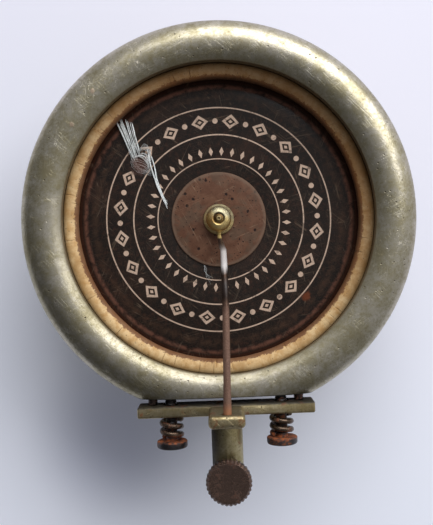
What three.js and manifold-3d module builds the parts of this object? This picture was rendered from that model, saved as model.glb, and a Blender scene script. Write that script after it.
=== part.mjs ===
// A gramophone soundbox lying on its back, built from separate pieces in millimetres.
// +Z comes out of its front, -Y points along the needle holder and z = 0 is the collar's rear edge.

import * as THREE from 'three';
import { mergeVertices } from 'three/addons/utils/BufferGeometryUtils.js';
import Module from 'manifold-3d';

const wasm = await Module();
wasm.setup();

// Clearances that several pieces share
const screwGap = 0.2;
const softGap = 0.3;
const overrun = 1;

// Case: a turned ring with a rounded bezel, cut flat where the crossbar hangs
const caseRadius = 30;
const caseWall = 5.3;
const caseFlatCut = 3.05;
const caseEdgeRound = 0.8;
const bezelWidth = 6.35;
const bezelRise = 2.6;
const crestInset = 3.55;
const innerSlopeDrop = 1.5;
const lipThickness = 0.65;

// Diaphragm between two rubber gaskets
const gasketRadius = 1.4;
const diaphragmThickness = 0.24;
const diaphragmTravel = 0.21;
const travelMargin = 0.11;
const centreDiscRadius = 7.45;
const centreDiscThickness = 0.3;

// Hub that clamps the stylus bar's eye to the diaphragm
const hubBoltRadius = 0.75;
const hubHoleGap = 0.12;
const hubHeadRadius = 1.7;
const hubHeadThickness = 0.7;
const backWasherRadius = 3;
const backWasherThickness = 0.3;
const frontWasherRadius = 2.4;
const frontWasherThickness = 0.35;
const eyeRadius = 1.75;
const eyeThickness = 0.5;
const eyeGap = 0.15;
const nutRadius = 1.95;
const nutHeight = 1.8;
const nutRecessRadius = 1.15;
const nutRecessDepth = 0.35;

// Back plate, screwed on from behind
const backPlateThickness = 2;
const backPlateInset = 0.8;
const gasketSeatRise = 1.5;
const soundGap = 1.2;
const raisedMiddleGap = 0.4;
const throatRadius = 8;
const throatRound = 0.8;
const backScrewGrip = 3.5;

// Slotted cheese-head screws of the back
const backScrewShankRadius = 0.9;
const backScrewHeadRadius = 1.75;
const backScrewHeadThickness = 1.1;
const headEdgeRound = 0.25;
const headSlotWidth = 0.5;
const headSlotDepth = 0.45;

// Collar that slips over the tone arm, with a bayonet slot
const collarBoreRadius = 11.2;
const collarWall = 1.1;
const collarReach = 6.5;
const collarFlangeWidth = 3.4;
const collarFlangeThickness = 1.2;
const bayonetWidth = 2.4;
const bayonetDepth = 4.2;
const bayonetTurn = THREE.MathUtils.degToRad(24);

// Rubber isolator round the collar's flange, and the ring that clamps it
const isolatorRearLeg = 1.5;
const isolatorFrontLeg = 1.7;
const isolatorWeb = 1.2;
const clampSheet = 0.9;
const clampLipGap = 1.1;
const clampFootWidth = 4.2;

// Crossbar on two pivots, with the tongue that carries the stylus bar
const crossbarGap = 0.95;
const crossbarThickness = 1.7;
const crossbarDepth = 4.2;
const crossbarEnd = 2.25;
const crossbarCorner = 0.4;
const pivotSpacing = 22;
const pivotSetback = 1.9;
const pivotRadius = 0.7;
const pivotGrip = 2.6;
const pivotBite = 0.6;
const pivotSeatGap = 0.12;
const tongueWidth = 5.2;
const tongueThickness = 1.9;
const tongueSetback = 0.25;
const tongueReach = 7.4;
const tongueRound = 0.6;

// Stylus bar, a tapered rod
const barInset = 1.5;
const barRootRadius = 0.6;
const barTipRadius = 0.4;

// Tension screws and their springs
const screwInset = 2.7;
const tensionShankRadius = 0.9;
const tensionGrip = 2.7;
const tensionHoleSpare = 1;
const tensionHeadRadius = 2.3;
const tensionHeadThickness = 1.1;
const springRoom = 3.7;
const springSeatGap = 0.15;
const springCoilRadius = 1.6;
const springWire = 0.5;

// Needle holder and its knurled thumbscrew
const holderRadius = 2.35;
const holderLength = 11.5;
const holderChamfer = 0.4;
const spigotRadius = 1.4;
const needleBoreRadius = 0.85;
const needleBoreDepth = 10;
const holderFlatCut = 0.25;
const thumbscrewSetback = 2.6;
const thumbShankRadius = 1;
const thumbNeckRadius = 1.6;
const thumbNeckLength = 0.6;
const thumbSeatGap = 0.1;
const thumbHeadRadius = 3.4;
const thumbHeadThickness = 1.9;
const thumbHeadChamfer = 0.5;
const knurlDepth = 0.16;

// Counts of facets, teeth and turns
const ringSteps = 72;
const plateSteps = 48;
const hubSteps = 24;
const screwSteps = 16;
const holeSteps = 12;
const gasketSteps = 10;
const slopeSteps = 5;
const edgeSteps = 2;
const domeSteps = 5;
const knurlCount = 32;
const barSides = 8;
const barSteps = 22;
const barFootSteps = 2;
const springSides = 5;
const springTurnSteps = 8;
const springTurns = 2.625;

// Places round the axis, as angles from +X
const backScrewAngles = [90, 210, 330].map(THREE.MathUtils.degToRad);
const clampScrewAngles = [30, 150, 270].map(THREE.MathUtils.degToRad);
const bayonetAngle = THREE.MathUtils.degToRad(78);

// The bar's route from its root to the hub, as shares of the way along Y and of the way back in Z
const barRouteShares = [[0.17, 0.005], [0.45, 0.05], [0.68, 0.14], [0.77, 0.26], [0.84, 0.55], [0.89, 0.86]];
const nutDomeShare = 0.45;

// Heights above the collar's rear edge, from the back to the front
const isolatorRearZ = collarReach + clampSheet + softGap;
const flangeRearZ = isolatorRearZ + isolatorRearLeg + softGap;
const flangeFrontZ = flangeRearZ + collarFlangeThickness;
const backPlateRearZ = flangeFrontZ + softGap + isolatorFrontLeg;
const caseRearZ = backPlateRearZ + backPlateThickness;
const seatZ = caseRearZ + gasketSeatRise;
const rearGasketZ = seatZ + softGap + gasketRadius;
const diaphragmRearZ = rearGasketZ + gasketRadius + diaphragmTravel + travelMargin;
const diaphragmFrontZ = diaphragmRearZ + diaphragmThickness;
const frontGasketZ = diaphragmFrontZ + diaphragmTravel + travelMargin + gasketRadius;
const lipRearZ = frontGasketZ + gasketRadius + softGap;
const bezelZ = lipRearZ + lipThickness;
const crestZ = bezelZ + bezelRise;
const hubWasherZ = diaphragmFrontZ + centreDiscThickness;
const eyeZ = hubWasherZ + frontWasherThickness + eyeGap;
const nutZ = eyeZ + eyeThickness + eyeGap;
const pivotZ = crestZ - pivotSetback;
const tongueFrontZ = pivotZ + crossbarDepth / 2 + tongueReach;
const barRootZ = tongueFrontZ - barInset;
const holderFlatZ = pivotZ + holderRadius - holderFlatCut;

// Radii round the axis
const chamberRadius = caseRadius - caseWall;
const bezelOpeningRadius = caseRadius - bezelWidth;
const crestRadius = caseRadius - crestInset;
const gasketCentreRadius = chamberRadius - softGap - gasketRadius;
const backScrewCircle = caseRadius - caseWall / 2;
const collarRadius = collarBoreRadius + collarWall;
const flangeRadius = collarRadius + collarFlangeWidth;
const isolatorGrooveRadius = flangeRadius + softGap;
const isolatorRadius = isolatorGrooveRadius + isolatorWeb;
const clampWallRadius = isolatorRadius + softGap + clampSheet;
const clampFootRadius = clampWallRadius + clampFootWidth;
const clampScrewCircle = clampWallRadius + clampFootWidth / 2;
const hubHoleRadius = hubBoltRadius + hubHoleGap;

// Places along Y, from the case's flat outwards
const caseFlatY = caseFlatCut - caseRadius;
const crossbarTopY = caseFlatY - crossbarGap;
const crossbarLowY = crossbarTopY - crossbarThickness;
const tongueTopY = crossbarTopY - tongueSetback;
const tongueLowY = tongueTopY - tongueThickness;
const pivotTipY = crossbarTopY - pivotBite;
const holderEndY = tongueLowY - holderLength;
const thumbscrewY = holderEndY + thumbscrewSetback;
const springTopY = crossbarLowY - springSeatGap;
const tensionHeadY = crossbarLowY - springRoom;
const springLength = springRoom - 2 * springSeatGap;
const pivotX = pivotSpacing / 2;
const tensionX = pivotX - screwInset;

// Finishes
const tarnishedNickel = { color: 0x84806f, roughness: 0.42, metalness: 0.9 };
const rustySteel = { color: 0x5a4232, roughness: 0.8, metalness: 0.5 };
const darkSteel = { color: 0x4a4038, roughness: 0.6, metalness: 0.7 };
const brass = { color: 0xb99a52, roughness: 0.35, metalness: 1 };
const agedRubber = { color: 0xcbb083, roughness: 0.7, metalness: 0 };
const blackRubber = { color: 0x26241f, roughness: 0.8, metalness: 0 };
const printedMica = { color: 0x2e2723, roughness: 0.2, metalness: 0 };
const brownFibre = { color: 0x664c3c, roughness: 0.5, metalness: 0 };

// Turned shapes and booleans

function turned(profile, steps) {
  const points = profile.map(([radius, height]) => new THREE.Vector2(radius, height));
  return new THREE.LatheGeometry(points, steps).rotateX(Math.PI / 2);
}

function turnedRing(profile, steps) {
  return turned([...profile, profile[0]], steps);
}

function alongY(geometry) {
  return geometry.rotateX(-Math.PI / 2);
}

function round(radius, from, to, steps) {
  return turned([[0, from], [radius, from], [radius, to], [0, to]], steps);
}

function washer(innerRadius, outerRadius, from, to, steps) {
  return turnedRing([[innerRadius, from], [outerRadius, from], [outerRadius, to], [innerRadius, to]], steps);
}

// Points of an elliptical arc in a profile, both ends included
function arc(centreRadius, centreHeight, acrossRadius, upRadius, fromAngle, toAngle, steps) {
  const points = [];
  for (let i = 0; i <= steps; i++) {
    const angle = fromAngle + ((toAngle - fromAngle) * i) / steps;
    points.push([centreRadius + acrossRadius * Math.cos(angle), centreHeight + upRadius * Math.sin(angle)]);
  }
  return points;
}

function solidOf(geometry) {
  const bare = geometry.clone();
  bare.deleteAttribute('normal');
  bare.deleteAttribute('uv');
  const merged = mergeVertices(bare);
  const corners = merged.index.array;
  const triVerts = [];
  for (let i = 0; i < corners.length; i += 3) {
    const [a, b, c] = corners.slice(i, i + 3);
    if (a !== b && b !== c && c !== a) triVerts.push(a, b, c);
  }
  const vertProperties = merged.attributes.position.array;
  const indices = new Uint32Array(triVerts);
  return new wasm.Manifold(new wasm.Mesh({ numProp: 3, vertProperties, triVerts: indices }));
}

function geometryOf(solid) {
  const { vertProperties, triVerts } = solid.getMesh();
  const geometry = new THREE.BufferGeometry();
  geometry.setAttribute('position', new THREE.BufferAttribute(vertProperties, 3));
  geometry.setIndex(new THREE.BufferAttribute(triVerts, 1));
  geometry.computeVertexNormals();
  return geometry;
}

function cut(base, ...tools) {
  return geometryOf(tools.reduce((solid, tool) => solid.subtract(solidOf(tool)), solidOf(base)));
}

function joined(base, ...others) {
  return geometryOf(others.reduce((solid, other) => solid.add(solidOf(other)), solidOf(base)));
}

function common(base, other) {
  return geometryOf(solidOf(base).intersect(solidOf(other)));
}

function onCircle(radius, angle, height) {
  return [radius * Math.cos(angle), radius * Math.sin(angle), height];
}

// A closed tube through the points with a radius for each, flat ends and mitred bends
function sweptRod(route, radii, sides) {
  const positions = [];
  const indices = [];
  const side = new THREE.Vector3(1, 0, 0);
  const turn = new THREE.Quaternion();
  let heading = route[1].clone().sub(route[0]).normalize();
  route.forEach((point, i) => {
    const next = i < route.length - 1 ? route[i + 1].clone().sub(point).normalize() : heading;
    const mitre = heading.clone().add(next).normalize();
    for (let k = 0; k < sides; k++) {
      const angle = (2 * Math.PI * k) / sides;
      const offset = side.clone().applyAxisAngle(heading, angle).multiplyScalar(radii[i]);
      offset.addScaledVector(heading, -offset.dot(mitre) / heading.dot(mitre));
      positions.push(...offset.add(point).toArray());
    }
    side.applyQuaternion(turn.setFromUnitVectors(heading, next));
    heading = next;
  });
  const last = (route.length - 1) * sides;
  for (let ring = 0; ring < last; ring += sides) {
    for (let k = 0; k < sides; k++) {
      const beside = (k + 1) % sides;
      indices.push(ring + k, ring + beside, ring + sides + beside);
      indices.push(ring + k, ring + sides + beside, ring + sides + k);
    }
  }
  for (let k = 1; k < sides - 1; k++) {
    indices.push(0, k + 1, k);
    indices.push(last, last + k, last + k + 1);
  }
  const geometry = new THREE.BufferGeometry();
  geometry.setAttribute('position', new THREE.Float32BufferAttribute(positions, 3));
  geometry.setIndex(indices);
  geometry.computeVertexNormals();
  return geometry;
}

// The cutter that takes the flat side off a turned piece, at a distance outside the case's flat
function flatCutter(outside) {
  const width = 2 * caseRadius + 2 * overrun;
  const depth = caseFlatCut + overrun;
  const middleY = caseFlatY - outside - depth / 2;
  return new THREE.BoxGeometry(width, depth, crestZ).translate(0, middleY, crestZ / 2);
}

// A hole along Y, open at the top or bottom by one overrun where from or to passes a face
function holeAlongY(radius, x, fromY, toY, z) {
  return alongY(round(radius, 0, toY - fromY, holeSteps)).translate(x, fromY, z);
}

function slottedScrew(shankRadius, shankLength, headRadius, headThickness) {
  const roundedEdge = arc(headRadius - headEdgeRound, headEdgeRound - headThickness, headEdgeRound,
    headEdgeRound, -Math.PI / 2, 0, edgeSteps);
  const profile = [[0, -headThickness], ...roundedEdge, [headRadius, 0], [shankRadius, 0],
    [shankRadius, shankLength - shankRadius / 2], [shankRadius / 2, shankLength], [0, shankLength]];
  const slot = new THREE.BoxGeometry(2 * headRadius + overrun, headSlotWidth, 2 * headSlotDepth)
    .translate(0, 0, -headThickness);
  return cut(turned(profile, screwSteps), slot);
}

// Case and diaphragm pieces

function caseGeometry() {
  const rearEdge = arc(caseRadius - caseEdgeRound, caseRearZ + caseEdgeRound, caseEdgeRound, caseEdgeRound,
    -Math.PI / 2, 0, edgeSteps);
  const outerSlope = arc(crestRadius, bezelZ, crestInset, bezelRise, 0, Math.PI / 2, slopeSteps);
  const innerSlope = arc(crestRadius, crestZ - innerSlopeDrop, crestRadius - bezelOpeningRadius,
    innerSlopeDrop, Math.PI / 2, Math.PI, slopeSteps);
  const profile = [[chamberRadius, caseRearZ], ...rearEdge, ...outerSlope, ...innerSlope.slice(1),
    [bezelOpeningRadius, lipRearZ], [chamberRadius, lipRearZ]];
  const backHoles = backScrewAngles.map((angle) =>
    round(backScrewShankRadius + screwGap, -overrun, backScrewGrip + screwGap, holeSteps)
      .translate(...onCircle(backScrewCircle, angle, caseRearZ)));
  const flatHoles = [-1, 1].flatMap((side) => [
    holeAlongY(pivotRadius + screwGap, side * pivotX, caseFlatY - overrun,
      caseFlatY + pivotGrip + screwGap, pivotZ),
    holeAlongY(tensionShankRadius + screwGap, side * tensionX, caseFlatY - overrun,
      caseFlatY + tensionGrip + tensionHoleSpare, pivotZ),
  ]);
  return cut(turnedRing(profile, ringSteps), flatCutter(0), ...backHoles, ...flatHoles);
}

function gasketGeometry(height) {
  const section = arc(gasketCentreRadius, height, gasketRadius, gasketRadius, 0, 2 * Math.PI, gasketSteps);
  return turnedRing(section.slice(0, -1), plateSteps);
}

function diaphragmGeometry() {
  return washer(hubHoleRadius, chamberRadius - softGap, diaphragmRearZ, diaphragmFrontZ, plateSteps);
}

function centreDiscGeometry() {
  return washer(hubHoleRadius, centreDiscRadius, diaphragmFrontZ, hubWasherZ, plateSteps);
}

// Hub pieces

function hubBoltGeometry() {
  const headFrontZ = diaphragmRearZ - backWasherThickness;
  const headRearZ = headFrontZ - hubHeadThickness;
  const tipZ = nutZ + nutHeight - nutRecessDepth / 2;
  return turned([[0, headRearZ], [hubHeadRadius - headEdgeRound, headRearZ],
    [hubHeadRadius, headRearZ + headEdgeRound], [hubHeadRadius, headFrontZ], [hubBoltRadius, headFrontZ],
    [hubBoltRadius, tipZ], [0, tipZ + nutRecessDepth / 2]], hubSteps);
}

function backWasherGeometry() {
  const rearZ = diaphragmRearZ - backWasherThickness;
  return washer(hubHoleRadius, backWasherRadius, rearZ, diaphragmRearZ, hubSteps);
}

function frontWasherGeometry() {
  return washer(hubHoleRadius, frontWasherRadius, hubWasherZ, hubWasherZ + frontWasherThickness, hubSteps);
}

// A domed nut with a shallow recess round the bolt's tip
function hubNutGeometry() {
  const sideHeight = nutHeight * nutDomeShare;
  const domeRise = nutHeight - sideHeight;
  const topAngle = Math.acos(nutRecessRadius / nutRadius);
  const dome = arc(0, nutZ + sideHeight, nutRadius, domeRise / Math.sin(topAngle), 0, topAngle, domeSteps);
  return turnedRing([[hubHoleRadius, nutZ], [nutRadius, nutZ], ...dome,
    [hubHoleRadius, nutZ + nutHeight - nutRecessDepth]], hubSteps);
}

// Pieces of the rocking crossbar

function crossbarShape() {
  const left = -pivotX - crossbarEnd;
  const right = pivotX + crossbarEnd;
  const low = -crossbarDepth / 2;
  const high = crossbarDepth / 2;
  const shape = new THREE.Shape();
  shape.moveTo(left + crossbarCorner, low);
  shape.lineTo(right - crossbarCorner, low);
  shape.lineTo(right, low + crossbarCorner);
  shape.lineTo(right, high - crossbarCorner);
  shape.lineTo(right - crossbarCorner, high);
  shape.lineTo(left + crossbarCorner, high);
  shape.lineTo(left, high - crossbarCorner);
  shape.lineTo(left, low + crossbarCorner);
  shape.closePath();
  return shape;
}

function tongueShape() {
  const side = tongueWidth / 2;
  const half = tongueThickness / 2;
  const shape = new THREE.Shape();
  shape.moveTo(tongueRound - side, -half);
  shape.lineTo(side - tongueRound, -half);
  shape.absarc(side - tongueRound, tongueRound - half, tongueRound, -Math.PI / 2, 0);
  shape.absarc(side - tongueRound, half - tongueRound, tongueRound, 0, Math.PI / 2);
  shape.absarc(tongueRound - side, half - tongueRound, tongueRound, Math.PI / 2, Math.PI);
  shape.absarc(tongueRound - side, tongueRound - half, tongueRound, Math.PI, (3 * Math.PI) / 2);
  return shape;
}

// A cone-shaped seat for a pivot's tip, wide end up, open above the crossbar
function pivotSeat(x) {
  const depth = pivotBite + pivotSeatGap * Math.SQRT2;
  const cone = turned([[0, 0], [depth + overrun, depth + overrun], [0, depth + overrun]], holeSteps);
  return alongY(cone).translate(x, crossbarTopY - depth, pivotZ);
}

function crossbarGeometry() {
  const extent = { depth: crossbarThickness, bevelEnabled: false };
  const plate = new THREE.ExtrudeGeometry(crossbarShape(), extent);
  plate.rotateX(Math.PI / 2).translate(0, crossbarTopY, pivotZ);
  const tongueDepth = tongueFrontZ - pivotZ + crossbarDepth / 2;
  const tongue = new THREE.ExtrudeGeometry(tongueShape(), {
    depth: tongueDepth, bevelEnabled: false, curveSegments: edgeSteps });
  tongue.translate(0, tongueTopY - tongueThickness / 2, pivotZ - crossbarDepth / 2);
  const below = tongueLowY - overrun;
  const above = crossbarTopY + overrun;
  const screwHoles = [-1, 1].map((side) =>
    holeAlongY(tensionShankRadius + 2 * screwGap, side * tensionX, below, above, pivotZ));
  return cut(joined(plate, tongue), ...screwHoles, pivotSeat(-pivotX), pivotSeat(pivotX),
    holeAlongY(spigotRadius + screwGap, 0, below, above, pivotZ),
    holeAlongY(barRootRadius + screwGap, 0, below, above, barRootZ));
}

// The rod from the tongue to the hub, and the eye under the nut
function stylusBarGeometry() {
  const root = new THREE.Vector3(0, tongueTopY, barRootZ);
  const eyeMidZ = eyeZ + eyeThickness / 2;
  const eyeEdge = new THREE.Vector3(0, -(hubHoleRadius + eyeRadius) / 2, eyeMidZ);
  const bends = barRouteShares.map(([alongShare, backShare]) => new THREE.Vector3(0,
    THREE.MathUtils.lerp(root.y, eyeEdge.y, alongShare), THREE.MathUtils.lerp(root.z, eyeMidZ, backShare)));
  const footStart = new THREE.Vector3(0, -eyeRadius - barTipRadius, eyeMidZ);
  const curve = new THREE.CatmullRomCurve3([root, ...bends, footStart, eyeEdge], false, 'centripetal');
  const route = [new THREE.Vector3(0, tongueLowY, barRootZ), ...curve.getSpacedPoints(barSteps)];
  const lastRound = barSteps - barFootSteps;
  const radii = route.map((point, i) => i > lastRound ? Math.min(barTipRadius, eyeThickness / 2)
    : THREE.MathUtils.lerp(barRootRadius, barTipRadius, i / lastRound));
  const rod = sweptRod(route, radii, barSides);
  const eye = washer(hubHoleRadius, eyeRadius, eyeZ, eyeZ + eyeThickness, hubSteps);
  const bore = round(hubHoleRadius, eyeZ - overrun, nutZ + overrun, hubSteps);
  return cut(joined(eye, rod), bore);
}

// A pin that stands in the case's flat and ends in a cone
function pivotGeometry() {
  return alongY(turned([[0, pivotTipY], [pivotRadius, pivotTipY + pivotRadius],
    [pivotRadius, caseFlatY + pivotGrip], [0, caseFlatY + pivotGrip]], screwSteps));
}

function tensionScrewGeometry() {
  const shankLength = caseFlatY + tensionGrip - tensionHeadY;
  return alongY(slottedScrew(tensionShankRadius, shankLength, tensionHeadRadius, tensionHeadThickness));
}

// The spring's centre line, upward from z = 0, with a straight end of one wire's diameter at each side
function springRoute() {
  const rise = springLength - 2 * springWire;
  const steps = springTurns * springTurnSteps;
  const route = [new THREE.Vector3(springCoilRadius, 0, 0)];
  for (let i = 0; i <= steps; i++) {
    const angle = (2 * Math.PI * i) / springTurnSteps;
    route.push(new THREE.Vector3(springCoilRadius * Math.cos(angle), springCoilRadius * Math.sin(angle),
      springWire + (rise * i) / steps));
  }
  route.push(route[route.length - 1].clone().setZ(springLength));
  return route;
}

function leastGap(route, thickness) {
  let least = Infinity;
  route.forEach((point, i) => {
    for (const other of route.slice(i + 2)) least = Math.min(least, point.distanceTo(other) - thickness);
  });
  return least;
}

function springGeometry() {
  const route = springRoute();
  return alongY(sweptRod(route, route.map(() => springWire / 2), springSides));
}

// Needle holder, hanging below the crossbar, with its bore and the thumbscrew's hole
function needleHolderGeometry() {
  const spigotY = crossbarTopY - screwGap;
  const profile = [[0, holderEndY], [holderRadius - holderChamfer, holderEndY],
    [holderRadius, holderEndY + holderChamfer], [holderRadius, tongueLowY], [spigotRadius, tongueLowY],
    [spigotRadius, spigotY], [0, spigotY]];
  const shank = alongY(turned(profile, hubSteps)).translate(0, 0, pivotZ);
  const bore = holeAlongY(needleBoreRadius, 0, holderEndY - overrun, holderEndY + needleBoreDepth, pivotZ);
  const flatLength = 2 * thumbscrewSetback;
  const flatDepth = holderFlatCut + overrun;
  const flat = new THREE.BoxGeometry(2 * holderRadius, flatLength + overrun, flatDepth)
    .translate(0, holderEndY + (flatLength - overrun) / 2, holderFlatZ + flatDepth / 2);
  const screwHole = round(thumbShankRadius + screwGap, pivotZ, holderFlatZ + overrun, holeSteps)
    .translate(0, thumbscrewY, 0);
  return cut(shank, bore, flat, screwHole);
}

function thumbscrewGeometry() {
  const neckZ = holderFlatZ + thumbSeatGap;
  const headZ = neckZ + thumbNeckLength;
  const frontZ = headZ + thumbHeadThickness;
  const blank = turned([[0, headZ], [thumbHeadRadius - thumbHeadChamfer, headZ],
    [thumbHeadRadius, headZ + thumbHeadChamfer], [thumbHeadRadius, frontZ - thumbHeadChamfer],
    [thumbHeadRadius - thumbHeadChamfer, frontZ], [0, frontZ]], 2 * knurlCount);
  const knurl = new THREE.Shape();
  for (let i = 0; i < 2 * knurlCount; i++) {
    const radius = thumbHeadRadius - (i % 2) * knurlDepth;
    const [x, y] = onCircle(radius, (Math.PI * i) / knurlCount - Math.PI / 2, 0);
    if (i === 0) knurl.moveTo(x, y);
    else knurl.lineTo(x, y);
  }
  knurl.closePath();
  const teeth = new THREE.ExtrudeGeometry(knurl, { depth: thumbHeadThickness, bevelEnabled: false });
  const stem = turned([[0, pivotZ + needleBoreRadius / 2], [thumbShankRadius, pivotZ + needleBoreRadius],
    [thumbShankRadius, neckZ], [thumbNeckRadius, neckZ], [thumbNeckRadius, headZ + thumbHeadChamfer],
    [0, headZ + thumbHeadChamfer]], screwSteps);
  return joined(common(blank, teeth.translate(0, 0, headZ)), stem).translate(0, thumbscrewY, 0);
}

// Pieces of the back

function backPlateGeometry() {
  const middleZ = diaphragmRearZ - soundGap;
  const middleRadius = gasketCentreRadius - gasketRadius - raisedMiddleGap;
  const profile = [[throatRadius, backPlateRearZ], [caseRadius - backPlateInset, backPlateRearZ],
    [caseRadius - backPlateInset, caseRearZ], [chamberRadius - softGap, caseRearZ],
    [chamberRadius - softGap, seatZ], [middleRadius, seatZ], [middleRadius, middleZ],
    [throatRadius + throatRound, middleZ], [throatRadius, middleZ - throatRound]];
  const backHoles = backScrewAngles.map((angle) =>
    round(backScrewShankRadius + screwGap, backPlateRearZ - overrun, caseRearZ + overrun, holeSteps)
      .translate(...onCircle(backScrewCircle, angle, 0)));
  const clampHoles = clampScrewAngles.map((angle) =>
    round(backScrewShankRadius + screwGap, backPlateRearZ - overrun, caseRearZ + screwGap, holeSteps)
      .translate(...onCircle(clampScrewCircle, angle, 0)));
  return cut(turnedRing(profile, ringSteps), flatCutter(-backPlateInset), ...backHoles, ...clampHoles);
}

function isolatorGeometry() {
  const bore = collarRadius + clampLipGap / 2;
  return turnedRing([[bore, isolatorRearZ], [isolatorRadius, isolatorRearZ],
    [isolatorRadius, backPlateRearZ],
    [collarBoreRadius, backPlateRearZ], [collarBoreRadius, flangeFrontZ + softGap],
    [isolatorGrooveRadius, flangeFrontZ + softGap], [isolatorGrooveRadius, flangeRearZ - softGap],
    [bore, flangeRearZ - softGap]], plateSteps);
}

// The foot gives way round the heads of the back plate's screws where they come near
function clampRingGeometry() {
  const lipRadius = collarRadius + clampLipGap;
  const wallInside = clampWallRadius - clampSheet;
  const footZ = backPlateRearZ - clampSheet;
  const profile = [[lipRadius, collarReach], [clampWallRadius, collarReach], [clampWallRadius, footZ],
    [clampFootRadius, footZ], [clampFootRadius, backPlateRearZ], [wallInside, backPlateRearZ],
    [wallInside, collarReach + clampSheet], [lipRadius, collarReach + clampSheet]];
  const holes = clampScrewAngles.map((angle) =>
    round(backScrewShankRadius + screwGap, footZ - overrun, backPlateRearZ + overrun, holeSteps)
      .translate(...onCircle(clampScrewCircle, angle, 0)));
  const reliefs = backScrewAngles.map((angle) =>
    round(backScrewHeadRadius + softGap, footZ - overrun, backPlateRearZ + overrun, screwSteps)
      .translate(...onCircle(backScrewCircle, angle, 0)));
  return cut(turnedRing(profile, plateSteps), ...holes, ...reliefs);
}

// A sector of the collar's wall, for the sideways leg of its bayonet slot
function bayonetLeg() {
  const shape = new THREE.Shape();
  const inside = collarBoreRadius - overrun;
  const outside = collarRadius + overrun;
  shape.absarc(0, 0, outside, bayonetAngle, bayonetAngle + bayonetTurn, false);
  shape.absarc(0, 0, inside, bayonetAngle + bayonetTurn, bayonetAngle, true);
  shape.closePath();
  const extent = { depth: bayonetWidth, bevelEnabled: false, curveSegments: domeSteps };
  return new THREE.ExtrudeGeometry(shape, extent).translate(0, 0, bayonetDepth - bayonetWidth);
}

function collarGeometry() {
  const profile = [[collarBoreRadius, 0], [collarRadius, 0], [collarRadius, flangeRearZ],
    [flangeRadius, flangeRearZ], [flangeRadius, flangeFrontZ], [collarBoreRadius, flangeFrontZ]];
  const mouthLength = collarWall + 2 * overrun;
  const mouth = new THREE.BoxGeometry(mouthLength, bayonetWidth, bayonetDepth + overrun)
    .translate(collarBoreRadius + collarWall / 2, 0, (bayonetDepth - overrun) / 2)
    .rotateZ(bayonetAngle);
  return cut(turnedRing(profile, plateSteps), mouth, bayonetLeg());
}

function backScrewGeometry() {
  return slottedScrew(backScrewShankRadius, backPlateThickness + backScrewGrip, backScrewHeadRadius,
    backScrewHeadThickness);
}

function clampScrewGeometry() {
  return slottedScrew(backScrewShankRadius, clampSheet + backPlateThickness, backScrewHeadRadius,
    backScrewHeadThickness);
}

// The assembly

const soundbox = new THREE.Group();

function add(name, geometry, finish, position = [0, 0, 0], turn = 0) {
  const mesh = new THREE.Mesh(geometry, new THREE.MeshStandardMaterial(finish));
  mesh.name = name;
  mesh.position.set(...position);
  mesh.rotation.z = turn;
  soundbox.add(mesh);
}

add('body_shell', caseGeometry(), tarnishedNickel);
add('front_gasket', gasketGeometry(frontGasketZ), agedRubber);
add('rear_gasket', gasketGeometry(rearGasketZ), agedRubber);
add('diaphragm', diaphragmGeometry(), printedMica);
add('centre_disc', centreDiscGeometry(), brownFibre);
add('hub_bolt', hubBoltGeometry(), brass);
add('hub_back_washer', backWasherGeometry(), brass);
add('hub_front_washer', frontWasherGeometry(), brass);
add('hub_nut', hubNutGeometry(), brass);
add('stylus_bar', stylusBarGeometry(), rustySteel);
add('crossbar', crossbarGeometry(), tarnishedNickel);
add('needle_holder', needleHolderGeometry(), tarnishedNickel);
add('needle_thumbscrew', thumbscrewGeometry(), rustySteel);

[['left', -1], ['right', 1]].forEach(([name, side]) => {
  add(`${name}_pivot`, pivotGeometry(), darkSteel, [side * pivotX, 0, pivotZ]);
  add(`${name}_tension_screw`, tensionScrewGeometry(), rustySteel, [side * tensionX, tensionHeadY, pivotZ]);
  add(`${name}_tension_spring`, springGeometry(), rustySteel,
    [side * tensionX, springTopY - springLength, pivotZ]);
});

add('back_plate', backPlateGeometry(), tarnishedNickel);
add('rubber_isolator', isolatorGeometry(), blackRubber);
add('isolator_clamp_ring', clampRingGeometry(), tarnishedNickel);
add('tone_arm_collar', collarGeometry(), tarnishedNickel);
backScrewAngles.forEach((angle, i) => {
  add(`back_plate_screw_${i + 1}`, backScrewGeometry(), darkSteel,
    onCircle(backScrewCircle, angle, backPlateRearZ), angle);
});
clampScrewAngles.forEach((angle, i) => {
  add(`clamp_screw_${i + 1}`, clampScrewGeometry(), darkSteel,
    onCircle(clampScrewCircle, angle, backPlateRearZ - clampSheet), -angle);
});

console.log(`least gap in a tension spring: ${leastGap(springRoute(), springWire).toFixed(3)} mm`);

// The origin lies under the middle of the whole soundbox
const lowestY = Math.min(holderEndY, thumbscrewY - thumbHeadRadius);
soundbox.position.y = -(caseRadius + lowestY) / 2;

export default soundbox;
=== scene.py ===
"""A worn gramophone soundbox on a pale table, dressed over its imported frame.

The case's axis is along Z and its front faces up. Sizes are in millimetres until a mesh is made.
"""

import math
import random

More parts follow.
